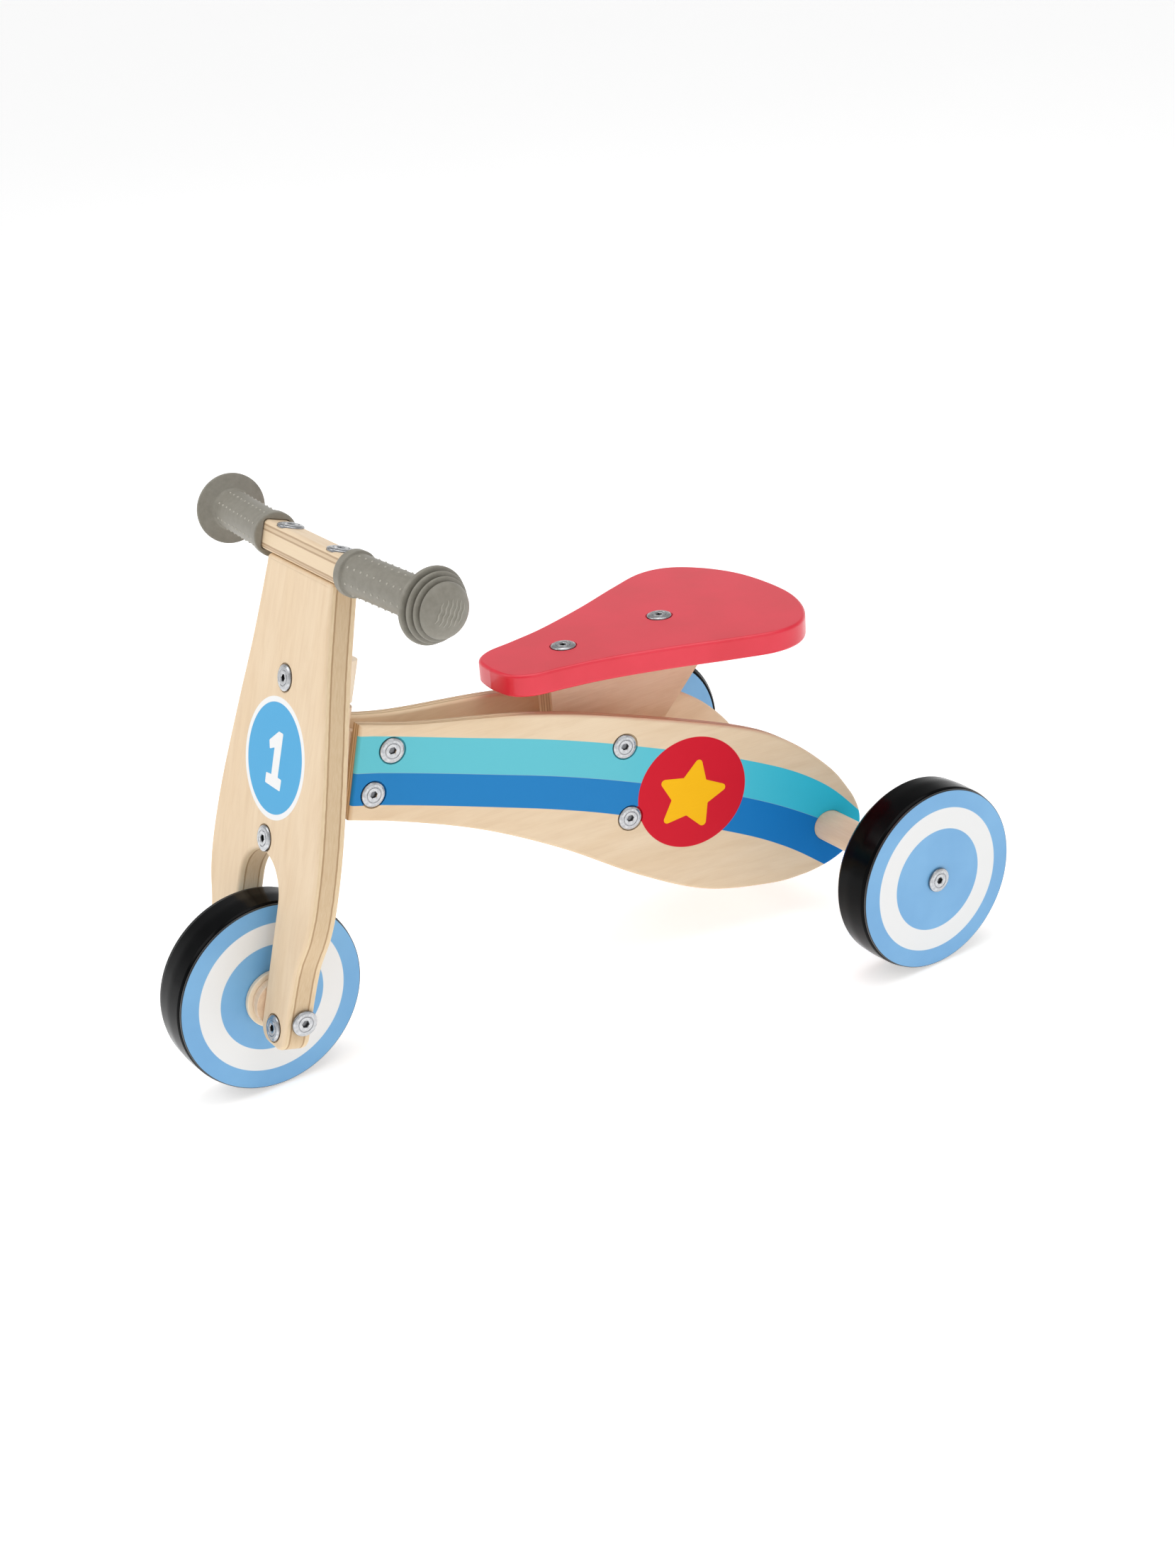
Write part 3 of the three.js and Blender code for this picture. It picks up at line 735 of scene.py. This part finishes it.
def add_piece(name, shape, material, body, nodes=(), place=None, sharp=38):
    """Adds a finished mesh in metres as a piece that rides on a body and stands for CAD nodes."""
    bmesh.ops.recalc_face_normals(shape, faces=shape.faces)
    mesh = mesh_of(shape, name)
    mesh.shade_smooth()
    mesh.set_sharp_from_angle(angle=math.radians(sharp))
    mesh.materials.append(material)
    piece = bpy.data.objects.new(name, mesh)
    bpy.context.scene.collection.objects.link(piece)
    if place is not None:
        piece.matrix_world = place
    weights = piece.modifiers.new("weights", "WEIGHTED_NORMAL")
    weights.keep_sharp = True
    weights.weight = 60
    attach(piece, body)
    if nodes:
        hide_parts(*nodes)


def at(x, y, z):
    """A place given in millimetres."""
    return Matrix.Translation(Vector((x, y, z)) * MM)


FORK = at(0, FRONT_Y - FORK_OFFSET, AXLE_UP) @ Matrix.Rotation(-RAKE, 4, "X")
TO_FRONT = Matrix.Rotation(-math.pi / 2, 4, "Z")
TO_TOP = Matrix.Rotation(-math.pi / 2, 4, "Y")
OUTWARDS = {1: Matrix.Identity(4), -1: Matrix.Rotation(math.pi, 4, "Z")}


# --- Fork ---
FORK_TOP = 268.5
FORK_FOOT = -17.0
LEG_OUTER = 55.5
ARCH_HALF = 25.0
ARCH_CENTRE = 68.0
ARCH_STEPS = 24
FORK_BOLTS = (("upper", 202), ("lower", 101.5))
LEG_BOLT_OUT = 41
LEG_BOLT_UP = -5.4
BAR_BOLT_OUT = 31
RECESS_RADIUS = 9


def recess(across, along, depth, radius=RECESS_RADIUS):
    """A hole for carved: from clear of a board's outer face to a depth below it."""
    return (across, along, radius, -4, depth)


def fork_outline():
    edge = [(56, 16), (58, 38), (65, 60), (67, 84), (64.5, 120), (56, 170), (47, 216)]
    right = spline([(LEG_OUTER, -7)] + edge + [(40.8, 262)], 10)
    foot = [(ARCH_HALF, 0, 0), (ARCH_HALF, FORK_FOOT, 11), (LEG_OUTER, FORK_FOOT, 9)]
    foot = rounded(foot + [(LEG_OUTER, 0, 0)], 7, closed=False)
    top = rounded([(41.5, 256, 0), (40.5, FORK_TOP, 2.5), (0, FORK_TOP, 0)], 5, closed=False)
    half = foot[1:-1] + right + top[1:-1]
    arch = []
    for k in range(ARCH_STEPS + 1):
        angle = math.pi / 2 - math.pi / 2 * k / ARCH_STEPS
        side = Vector((math.cos(angle), math.sin(angle))) * ARCH_HALF
        arch.append(side + Vector((0, ARCH_CENTRE)))
    whole = arch + half
    mirrored = [Vector((-p.x, p.y)) for p in reversed(whole)]
    return whole + mirrored


def fork_point(point):
    """The fork is drawn in X and Y with its depth in Z; in the fork's frame depth is Y."""
    return Vector((point.x, point.z, point.y))


def build_fork():
    holes = [recess(0, up, 1) for _, up in FORK_BOLTS]
    holes += [recess(sign * LEG_BOLT_OUT, LEG_BOLT_UP, 1) for _, sign in SIDES]
    board = carved(plate(fork_outline(), FORK_THICK, ease=2.6), holes)
    add_piece("fork", scaled(board, bend=fork_point, flat=True), FORK_WOOD, "fork",
              ["fork_board"], FORK)


# --- Side boards ---
DOWEL_RADIUS = 11
FRONT_HALF = 15.5
STRAIGHT_TO = 90
FLARE = 0.108
FLARE_GROWTH = 0.000145
FRAME_BOLTS = (
    ("front_upper", 101, 197),
    ("front_lower", 85, 172),
    ("mid_upper", 257, 158),
    ("mid_lower", 257, 107),
)


def board_face(back):
    """How far a board's outer face lies from the middle; the boards flare towards the rear."""
    run = max(0.0, back - STRAIGHT_TO)
    return FRONT_HALF + FLARE * run + FLARE_GROWTH * run * run


def board_slope(back):
    """How fast the outer face moves out there."""
    run = max(0.0, back - STRAIGHT_TO)
    return FLARE + 2 * FLARE_GROWTH * run if run > 0 else 0.0


def side_outline():
    upper = [(82, 219), (120, 209), (198, 195), (262, 177), (340, 150.4), (376, 131), (405, 104.8),
             (420, 83)]
    lower = [(384, 30.2), (358, 29.8), (310, 39), (262, 63), (210, 97), (161, 124), (117, 142.5),
             (66.5, 160)]
    line = spline(upper, 12)
    line += bezier([(420, 83), (426.5, 71), (426.3, 61)], 10)
    line += bezier([(426.3, 61), (425, 44), (408, 33.5), (384, 30.2)], 14)
    line += spline(lower, 12)[1:]
    return line


def board_point(sign):
    """Bends a flat side board to its place: along, up and depth under the outer face."""

    def bend(point):
        return Vector((sign * (board_face(point.x) - point.z), FRONT_Y + point.x, point.y))

    return bend


def build_side_boards():
    outline = side_outline()
    for side, sign in SIDES:
        holes = [recess(back, up, 1.5) for _, back, up in FRAME_BOLTS]
        holes.append(recess(REAR_Y - FRONT_Y, AXLE_UP, 14, DOWEL_RADIUS + 0.25))
        board = carved(plate(outline, BOARD_THICK, ease=2.2), holes)
        sliced(board, 0, STRAIGHT_TO + 0.5, 420, step=9)
        shape = scaled(board, bend=board_point(sign), flat=True)
        add_piece("side_board_" + side + "_skin", shape, SIDE_WOOD, "frame",
                  ["side_board_" + side])
        build_star(side, sign)


PRINT_PROUD = 0.06


def build_star(side, sign):
    """A thin star on the disc, a hair proud of the board."""
    middle = Vector((301.3, 111.6))
    corners = []
    for k in range(10):
        angle = math.radians(72 + 36 * k)
        reach, radius = (28.2, 2.6) if k % 2 == 0 else (14.2, 0.8)
        spot = middle + Vector((math.cos(angle), math.sin(angle))) * reach
        corners.append((spot.x, spot.y, radius))
    shape = bmesh.new()
    loop = tidy(rounded(corners, 6))
    depths = (0.3, -PRINT_PROUD)
    join_rings(shape, [[shape.verts.new((p.x, p.y, depth)) for p in loop] for depth in depths])
    sliced(shape, 0, 270, 333, step=6)
    shape = scaled(shape, bend=board_point(sign), flat=True)
    add_piece("star_" + side, shape, STAR_YELLOW, "frame")


def build_digit():
    """A slab-serif figure one on the fork's disc."""
    corners = [(1.4, 169.2, 1.0), (6.9, 169.2, 0.8), (6.7, 142, 0.4), (11.4, 141.9, 0.7),
               (11.2, 134.7, 0.7), (-7.8, 134.7, 0.7), (-8, 141, 0.7), (-1.5, 141.7, 0.4),
               (-1.6, 158.4, 0.4), (-7.2, 156, 0.7), (-9, 161, 0.7)]
    shape = plate(rounded(corners, 4), thickness=0.4, ease=0.02, steps=1)
    bmesh.ops.translate(shape, vec=(0, 0, -PRINT_PROUD), verts=shape.verts)
    shape = scaled(shape, bend=fork_point, flat=True)
    add_piece("digit", shape, DIGIT_WHITE, "fork", (), FORK)


# --- Bolts ---
HEAD_RADIUS = 8.2


def bolt_head(shank, length):
    """A low domed bolt along +X with a hexagonal socket, its head's underside at 0."""
    socket = 4.6
    edge = [(shank, 0, 0), (HEAD_RADIUS, 0, 0.25), (HEAD_RADIUS, 1.5, 0.9), (6.6, 2.15, 1.2),
            (5.2, 2.25, 0.1), (5.0, 1.85, 0.1), (4.65, 1.85, 0.1), (4.5, 2.35, 0.15), (3.3, 2.4, 0)]
    profile = [(0, -length), (shank - 0.3, -length), (shank, -length + 0.3)]
    profile += [(p.x, p.y) for p in rounded(edge, 5, closed=False)]
    profile += [(hexagon(socket + 0.7), 2.2), (hexagon(socket), 1.8), (hexagon(socket - 0.3), 0.3)]
    profile.append((0, 0.1))
    return polar(profile, 72)


def add_bolt(name, node, body, place, length, shank=3.0):
    head = scaled(bolt_head(shank, length))
    add_piece(name, head, BOLT_ZINC, body, [node], place, sharp=32)


SUNK_IN_FORK = 0.75
SUNK_IN_BOARD = 1.35
SUNK_IN_SEAT = 0.95
AXLE_HEAD = 56.6


def build_bolts():
    for place, up in FORK_BOLTS:
        spot = FORK @ at(0, SUNK_IN_FORK, up) @ TO_FRONT
        add_bolt("bolt_fork_" + place, "fork_bolt_" + place, "fork", spot, 16)
    for side, sign in SIDES:
        spot = FORK @ at(sign * LEG_BOLT_OUT, SUNK_IN_FORK, LEG_BOLT_UP) @ TO_FRONT
        add_bolt("bolt_leg_" + side, "leg_bolt_" + side, "fork", spot, 10, shank=2.5)
        top = BAR_LOW + BAR_HIGH - SUNK_IN_FORK
        spot = FORK @ at(sign * BAR_BOLT_OUT, BAR_DEEP / 2, top) @ TO_TOP
        add_bolt("bolt_bar_" + side, "handlebar_bolt_" + side, "fork", spot, 44)
        spot = at(sign * (TRACK_OUTER + 0.25), REAR_Y, AXLE_UP) @ OUTWARDS[sign]
        add_bolt("bolt_rear_" + side, "rear_wheel_bolt_" + side, "frame", spot, 60, shank=4)
        for place, back, up in FRAME_BOLTS:
            slope = math.atan(board_slope(back))
            turn = Matrix.Rotation(-slope if sign > 0 else math.pi + slope, 4, "Z")
            spot = at(sign * (board_face(back) - SUNK_IN_BOARD), FRONT_Y + back, up) @ turn
            node = ("frame_bolt_" if sign > 0 else "frame_nut_") + place
            name = "bolt_" + place + "_" + side
            add_bolt(name, node, "frame", spot, board_face(back) - 2.5, shank=4)
    for place, back in SEAT_BOLTS:
        spot = at(0, FRONT_Y + back, SEAT_TOP - SUNK_IN_SEAT) @ TO_TOP
        add_bolt("bolt_seat_" + place, "seat_bolt_" + place, "frame", spot, 30)
    depth = FORK_OFFSET * math.cos(RAKE)
    up = FORK_OFFSET * math.sin(RAKE)
    for (side, sign), node in zip(SIDES, ("front_axle_bolt", "front_axle_nut")):
        spot = FORK @ at(sign * AXLE_HEAD, depth, up) @ OUTWARDS[sign]
        add_bolt("bolt_axle_" + side, node, "fork", spot, AXLE_HEAD - 0.2, shank=4)


# --- Seat ---
SEAT_TOP = 222.0
SEAT_THICK = 15.0
SEAT_BOLTS = (("front", 240), ("rear", 316))


def build_seat():
    half = [(18, 187), (28, 199), (32, 220), (38, 247), (52, 287), (68, 325), (78, 354), (74, 376),
            (56, 393), (30, 404)]
    mirrored = [(-x, back) for x, back in reversed(half)]
    ring = spline([(0, 184)] + half + [(0, 407)] + mirrored + [(0, 184)], 12)
    holes = [recess(0, back, 1.2) for _, back in SEAT_BOLTS]
    board = carved(plate(ring, SEAT_THICK, ease=2.2, steps=7), holes)

    def settle(point):
        return Vector((point.x, FRONT_Y + point.y, SEAT_TOP - point.z))

    add_piece("seat_board", scaled(board, bend=settle), SEAT_RED, "frame", ["seat"])


# --- Wheels ---
RIM_RADIUS = 61.2
WHEEL_SEGMENTS = 160
SMALL_SEGMENTS = 96


def disc_shape(double):
    """A disc from 0 to its width along X, with a thin rim at its outer face, or at both."""
    rim = 1.6
    seat = 57.4
    centre = (AXLE_BORE, WHEEL_WIDTH / 2, 0)
    inner = [(AXLE_BORE, 0, 0.2), (seat, 0, 0.7)]
    if double:
        inner = [(AXLE_BORE, 0, 0.2), (RIM_RADIUS, 0, 0.7), (RIM_RADIUS, rim, 0.3), (seat, rim, 0)]
    outer = [(seat, WHEEL_WIDTH - rim, 0), (RIM_RADIUS, WHEEL_WIDTH - rim, 0.3),
             (RIM_RADIUS, WHEEL_WIDTH, 0.7), (AXLE_BORE, WHEEL_WIDTH, 0.2)]
    line = rounded([centre] + inner + outer + [centre], 4, closed=False)
    return turned(line, WHEEL_SEGMENTS)


def tyre_shape(double):
    """A tyre band with a crowned tread; the inner shoulder of a rear tyre is rounder."""
    inner, inner_radius, shoulder, ease = (1.9, RIM_RADIUS, 1.4, 2.2)
    if not double:
        inner, inner_radius, shoulder, ease = (0.6, 59.0, 3.6, 3.0)
    outer = 28.1
    bore = 57.7
    middle = (inner + outer) / 2
    corners = [(bore, middle, 0), (bore, inner, 0.2), (inner_radius, inner, 0.5),
               (61.9, inner + shoulder, ease), (AXLE_UP, middle, 60), (62.0, outer - 1.6, 2.0),
               (61.35, outer, 0.4), (bore, outer, 0.2), (bore, middle, 0)]
    return turned(rounded(corners, 8, closed=False), WHEEL_SEGMENTS)


def ring_shape(outer, width, ease):
    """A wooden washer from 0 to its width along X."""
    centre = (AXLE_BORE, width / 2, 0)
    corners = [centre, (AXLE_BORE, 0, 0.15), (outer, 0, ease), (outer, width, ease),
               (AXLE_BORE, width, 0.15), centre]
    return turned(rounded(corners, 5, closed=False), SMALL_SEGMENTS)


def build_wheels():
    for side, sign in SIDES:
        body = "rear_wheel_" + side
        place = at(sign * (TRACK_OUTER - WHEEL_WIDTH), REAR_Y, AXLE_UP) @ OUTWARDS[sign]
        add_piece("disc_rear_" + side, scaled(disc_shape(False)), WHEEL_ONE, body,
                  ["rear_disc_" + side], place, sharp=32)
        add_piece("band_rear_" + side, scaled(tyre_shape(False)), TYRE, body,
                  ["rear_tyre_" + side], place, sharp=50)
    place = at(-WHEEL_WIDTH / 2, FRONT_Y, AXLE_UP)
    add_piece("disc_front", scaled(disc_shape(True)), WHEEL_BOTH, "front_wheel",
              ["front_disc"], place, sharp=32)
    add_piece("band_front", scaled(tyre_shape(True)), TYRE, "front_wheel",
              ["front_tyre"], place, sharp=50)
    for side, sign in SIDES:
        place = at(sign * 15.3, FRONT_Y, AXLE_UP) @ OUTWARDS[sign]
        add_piece("hub_disc_" + side, scaled(ring_shape(18.7, 3.4, 0.8)), PALE_WOOD,
                  "front_wheel", ["front_hub_disc_" + side], place, sharp=32)
        place = at(sign * 19.0, FRONT_Y, AXLE_UP) @ OUTWARDS[sign]
        add_piece("hub_spacer_" + side, scaled(ring_shape(15.5, 5.7, 0.5)), BEECH_X,
                  "front_wheel", ["front_spacer_" + side], place, sharp=32)


def build_dowel():
    half = 139.9
    corners = [(0, -half, 0), (DOWEL_RADIUS, -half, 1), (DOWEL_RADIUS, half, 1), (0, half, 0)]
    shape = turned(rounded(corners, 5, closed=False), SMALL_SEGMENTS)
    add_piece("dowel", scaled(shape), BEECH_X, "frame", ["rear_axle"],
              at(0, REAR_Y, AXLE_UP), sharp=32)


# --- Handlebar and grips ---
BAR_DEEP = 16.5
BAR_LOW = 268.8
BAR_MIDDLE = FORK @ at(0, BAR_DEEP / 2, BAR_LOW + BAR_HIGH / 2)
SWEEP = math.radians(5.5)
GRIP_START = 48.0
TUBE_RADIUS = 12.3
CAP_RADIUS = 16.2
CAP_START = 87.3
CAP_RISE = 7.2
CAP_FLATNESS = 0.85


def build_bar():
    """The plywood bar, whose ends turn back a little inside the grips."""
    deep = BAR_DEEP / 2
    high = BAR_HIGH / 2
    corners = [(-deep, -high, 2.8), (deep, -high, 2.8), (deep, high, 2.8), (-deep, high, 2.8)]
    section = rounded(corners, 6)
    shape = bmesh.new()
    rings = []
    for x in (-56, -48, -30, -10, 10, 30, 48, 56):
        swing = math.tan(SWEEP) * max(0.0, abs(x) - GRIP_START)
        rings.append([shape.verts.new((x, p.x + swing, p.y)) for p in section])
    join_rings(shape, rings)
    bmesh.ops.recalc_face_normals(shape, faces=shape.faces)
    shape = carved(shape, [(sign * BAR_BOLT_OUT, 0, 8.35, high - 1, 14) for _, sign in SIDES])
    add_piece("bar", scaled(shape), BAR_WOOD, "fork", ["handlebar"],
              BAR_MIDDLE, sharp=32)


def grip_profile():
    """From the mouth that takes the bar: collar, tube, three flanges and a domed end."""
    deep = BAR_DEEP / 2
    high = BAR_HIGH / 2
    mouth = softened_box(deep + 0.35, high + 0.35, 3.2)
    lip = softened_box(deep + 0.8, high + 0.8, 3.2)
    collar = [(12.8, 0, 0), (14.0, 0, 0.9), (14.0, 5.6, 0.9)]
    tube = [(TUBE_RADIUS, 6.4, 0.8), (TUBE_RADIUS, 70.6, 2.2), (13.4, 72.8, 1.6), (18.5, 74.6, 4)]
    flanges = [(22.4, 75.6, 0.7), (22.4, 77.9, 0.9), (15.6, 78.6, 0.6), (15.6, 79.9, 0.6),
               (20.4, 80.1, 0.6), (20.4, 81.9, 0.8), (14.6, 82.4, 0.5), (14.6, 83.6, 0.5),
               (18.3, 83.8, 0.5), (18.3, 85.3, 0.7), (13.6, 85.7, 0.4), (13.6, 86.9, 0.4)]
    outer = rounded(collar + tube + flanges + [(CAP_RADIUS, 87.2, 0.5)], 5, closed=False)
    profile = [(mouth, 7.0), (mouth, 0.5), (lip, 0.0)]
    profile += [(p.x, p.y) for p in outer[1:-1]]
    steps = 14
    for k in range(steps + 1):
        angle = math.pi / 2 * k / steps
        reach = CAP_RADIUS * math.cos(angle) ** CAP_FLATNESS if k < steps else 0
        profile.append((reach, CAP_START + CAP_RISE * math.sin(angle)))
    return profile


def add_dots(shape, raised_highlight):
    """Rows of small raised dots along the tube."""
    rows = 8
    dots = 10
    first = 10.0
    pitch = 6.4
    for row in range(rows):
        angle = (row + 0.45) * 2 * math.pi / rows
        out = Vector((0, math.cos(angle), math.sin(angle)))
        for k in range(dots):
            spot = Vector((first + pitch * k, 0, 0)) + out * (TUBE_RADIUS - 0.15)
            place = Matrix.Translation(spot)
            made = bmesh.ops.create_icosphere(shape, subdivisions=2, radius=0.75, matrix=place)
            for vert in made["verts"]:
                # Each dot gets a full painted highlight.
                vert[raised_highlight] = 1.0


def cap_height(distance):
    """How far along the grip its domed end lies at a distance from the axis."""
    part = min(1.0, distance / CAP_RADIUS) ** (1 / CAP_FLATNESS)
    return CAP_START + CAP_RISE * math.sqrt(max(0.0, 1 - part * part))


def add_ribs(shape, raised_highlight):
    """Short wavy ribs that stand side by side on the domed end."""
    count = 6
    spacing = 3.0
    field = 11.2
    half_steps = 8
    sides = 8
    for rib in range(count):
        across = (rib - (count - 1) / 2) * spacing
        reach = math.sqrt(field**2 - across**2) * 0.74
        rings = []
        for k in range(2 * half_steps + 1):
            part = k / half_steps - 1
            along = reach * part
            wave = 0.28 * math.sin(along * 1.3 + rib)
            middle = across + 0.22 * along + wave
            width = 0.62 * math.sqrt(max(0.02, 1 - part**4))
            top = cap_height(math.hypot(middle, along)) - 0.1
            ring = []
            for i in range(sides):
                angle = 2 * math.pi * i / sides
                up = width * math.sin(angle)
                vert = shape.verts.new((top + up, middle + width * math.cos(angle), along))
                # The ribs get a weaker painted highlight.
                vert[raised_highlight] = 0.45
                ring.append(vert)
            rings.append(ring)
        join_rings(shape, rings)


def build_grips():
    for side, sign in SIDES:
        shape = polar(grip_profile(), 128)
        raised_highlight = shape.verts.layers.float.new("raised_highlight")
        add_dots(shape, raised_highlight)
        add_ribs(shape, raised_highlight)
        turn = SWEEP if sign > 0 else math.pi - SWEEP
        place = BAR_MIDDLE @ at(sign * GRIP_START, 0, 0) @ Matrix.Rotation(turn, 4, "Z")
        add_piece("grip_" + side + "_rubber", scaled(shape), GRIP, "fork",
                  ["grip_" + side], place, sharp=46)


# --- Hidden wood and small hardware ---
def eased(name, node, width, material, body):
    """A copy of a plain CAD node with its sharp edges softened."""
    shape = bmesh.new()
    shape.from_mesh(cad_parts[node].data)
    bmesh.ops.remove_doubles(shape, verts=shape.verts, dist=0.00002)
    flush = math.radians(2)
    bmesh.ops.dissolve_limit(shape, angle_limit=flush, verts=shape.verts, edges=shape.edges)
    folds = [edge for edge in shape.edges if len(edge.link_faces) == 2]
    keen = [edge for edge in folds if edge.calc_face_angle(0) > math.radians(38)]
    bmesh.ops.bevel(shape, geom=keen, offset=width * MM, offset_type="OFFSET", segments=2,
                    profile=0.5, affect="EDGES", clamp_overlap=True)
    add_piece(name, shape, material, body, [node], None, sharp=30)


def build_small_parts():
    eased("head_block_wood", "head_block", 1.0, BEECH_Z, "frame")
    eased("support_wood", "seat_support", 0.8, SUPPORT_WOOD, "frame")
    for place in ("upper", "lower"):
        eased("clevis_" + place, "steering_block_" + place, 0.9, PALE_WOOD, "fork")
        eased("pin_washer_" + place, "steering_washer_" + place, 0.25, ZINC, "fork")
        for side, _ in SIDES:
            node = "board_spacer_" + place + "_" + side
            eased("spacer_" + place + "_" + side, node, 0.6, BEECH_X, "frame")
    eased("pin", "steering_pin", 0.3, ZINC, "fork")
    eased("pin_nut", "steering_nut", 0.4, ZINC, "fork")
    for side, _ in SIDES:
        eased("axle_washer_" + side, "rear_washer_" + side, 0.25, ZINC, "frame")
        eased("bar_nut_" + side, "barrel_nut_" + side, 0.3, ZINC, "fork")


build_fork()
build_side_boards()
build_digit()
build_bolts()
build_seat()
build_wheels()
build_dowel()
build_bar()
build_grips()
build_small_parts()


# --- Floor and light ---
def floor_finish():
    finish = Finish("studio_floor", Roughness=0.6, Emission_Strength=0.52)
    finish.shader.inputs["Emission Color"].default_value = (1, 1, 1, 1)
    place = object_place(finish)
    cloud = finish.noise(place, 1.4, 2, 0.5)
    colour = finish.blend(cloud, srgb(250, 250, 250), srgb(247, 247, 247))
    finish.plug(finish.shader.inputs["Base Color"], colour)
    return finish.material


def add_floor():
    shape = bmesh.new()
    bmesh.ops.create_grid(shape, x_segments=8, y_segments=8, size=9)
    floor = bpy.data.objects.new("floor", mesh_of(shape, "floor"))
    floor.data.materials.append(floor_finish())
    bpy.context.scene.collection.objects.link(floor)


def add_area(name, spot, target, size, power):
    data = bpy.data.lights.new(name, "AREA")
    data.shape = "RECTANGLE"
    data.size = size[0]
    data.size_y = size[1]
    data.energy = power
    lamp = bpy.data.objects.new(name, data)
    bpy.context.scene.collection.objects.link(lamp)
    aim = Vector(target) - Vector(spot)
    lamp.matrix_world = Matrix.Translation(spot) @ aim.to_track_quat("-Z", "Y").to_matrix().to_4x4()


def add_sky():
    """A soft dome: white at the horizon, greyer overhead."""
    world = bpy.data.worlds.new("studio")
    bpy.context.scene.world = world
    world.use_nodes = True
    tree = world.node_tree
    place = tree.nodes.new("ShaderNodeTexCoord")
    parts = tree.nodes.new("ShaderNodeSeparateXYZ")
    ramp = tree.nodes.new("ShaderNodeValToRGB")
    tree.links.new(place.outputs["Generated"], parts.inputs[0])
    tree.links.new(parts.outputs[2], ramp.inputs[0])
    tree.links.new(ramp.outputs[0], tree.nodes["Background"].inputs["Color"])
    for element, (height, value) in zip(ramp.color_ramp.elements, ((0.08, 1.0), (0.4, 0.4))):
        element.position = height
        element.color = (value, value, value, 1)


bpy.context.scene.view_settings.view_transform = "Standard"
add_floor()
add_sky()
add_area("key", (-0.9, -1.5, 1.7), (0, -0.05, 0.15), size=(1.3, 1.3), power=12)
add_area("fill", (1.9, 0.1, 1.3), (0, 0, 0.15), size=(1.6, 1.2), power=4.5)
add_area("top", (0.1, 0.1, 2.1), (0, 0, 0.1), size=(1.8, 1.8), power=18)
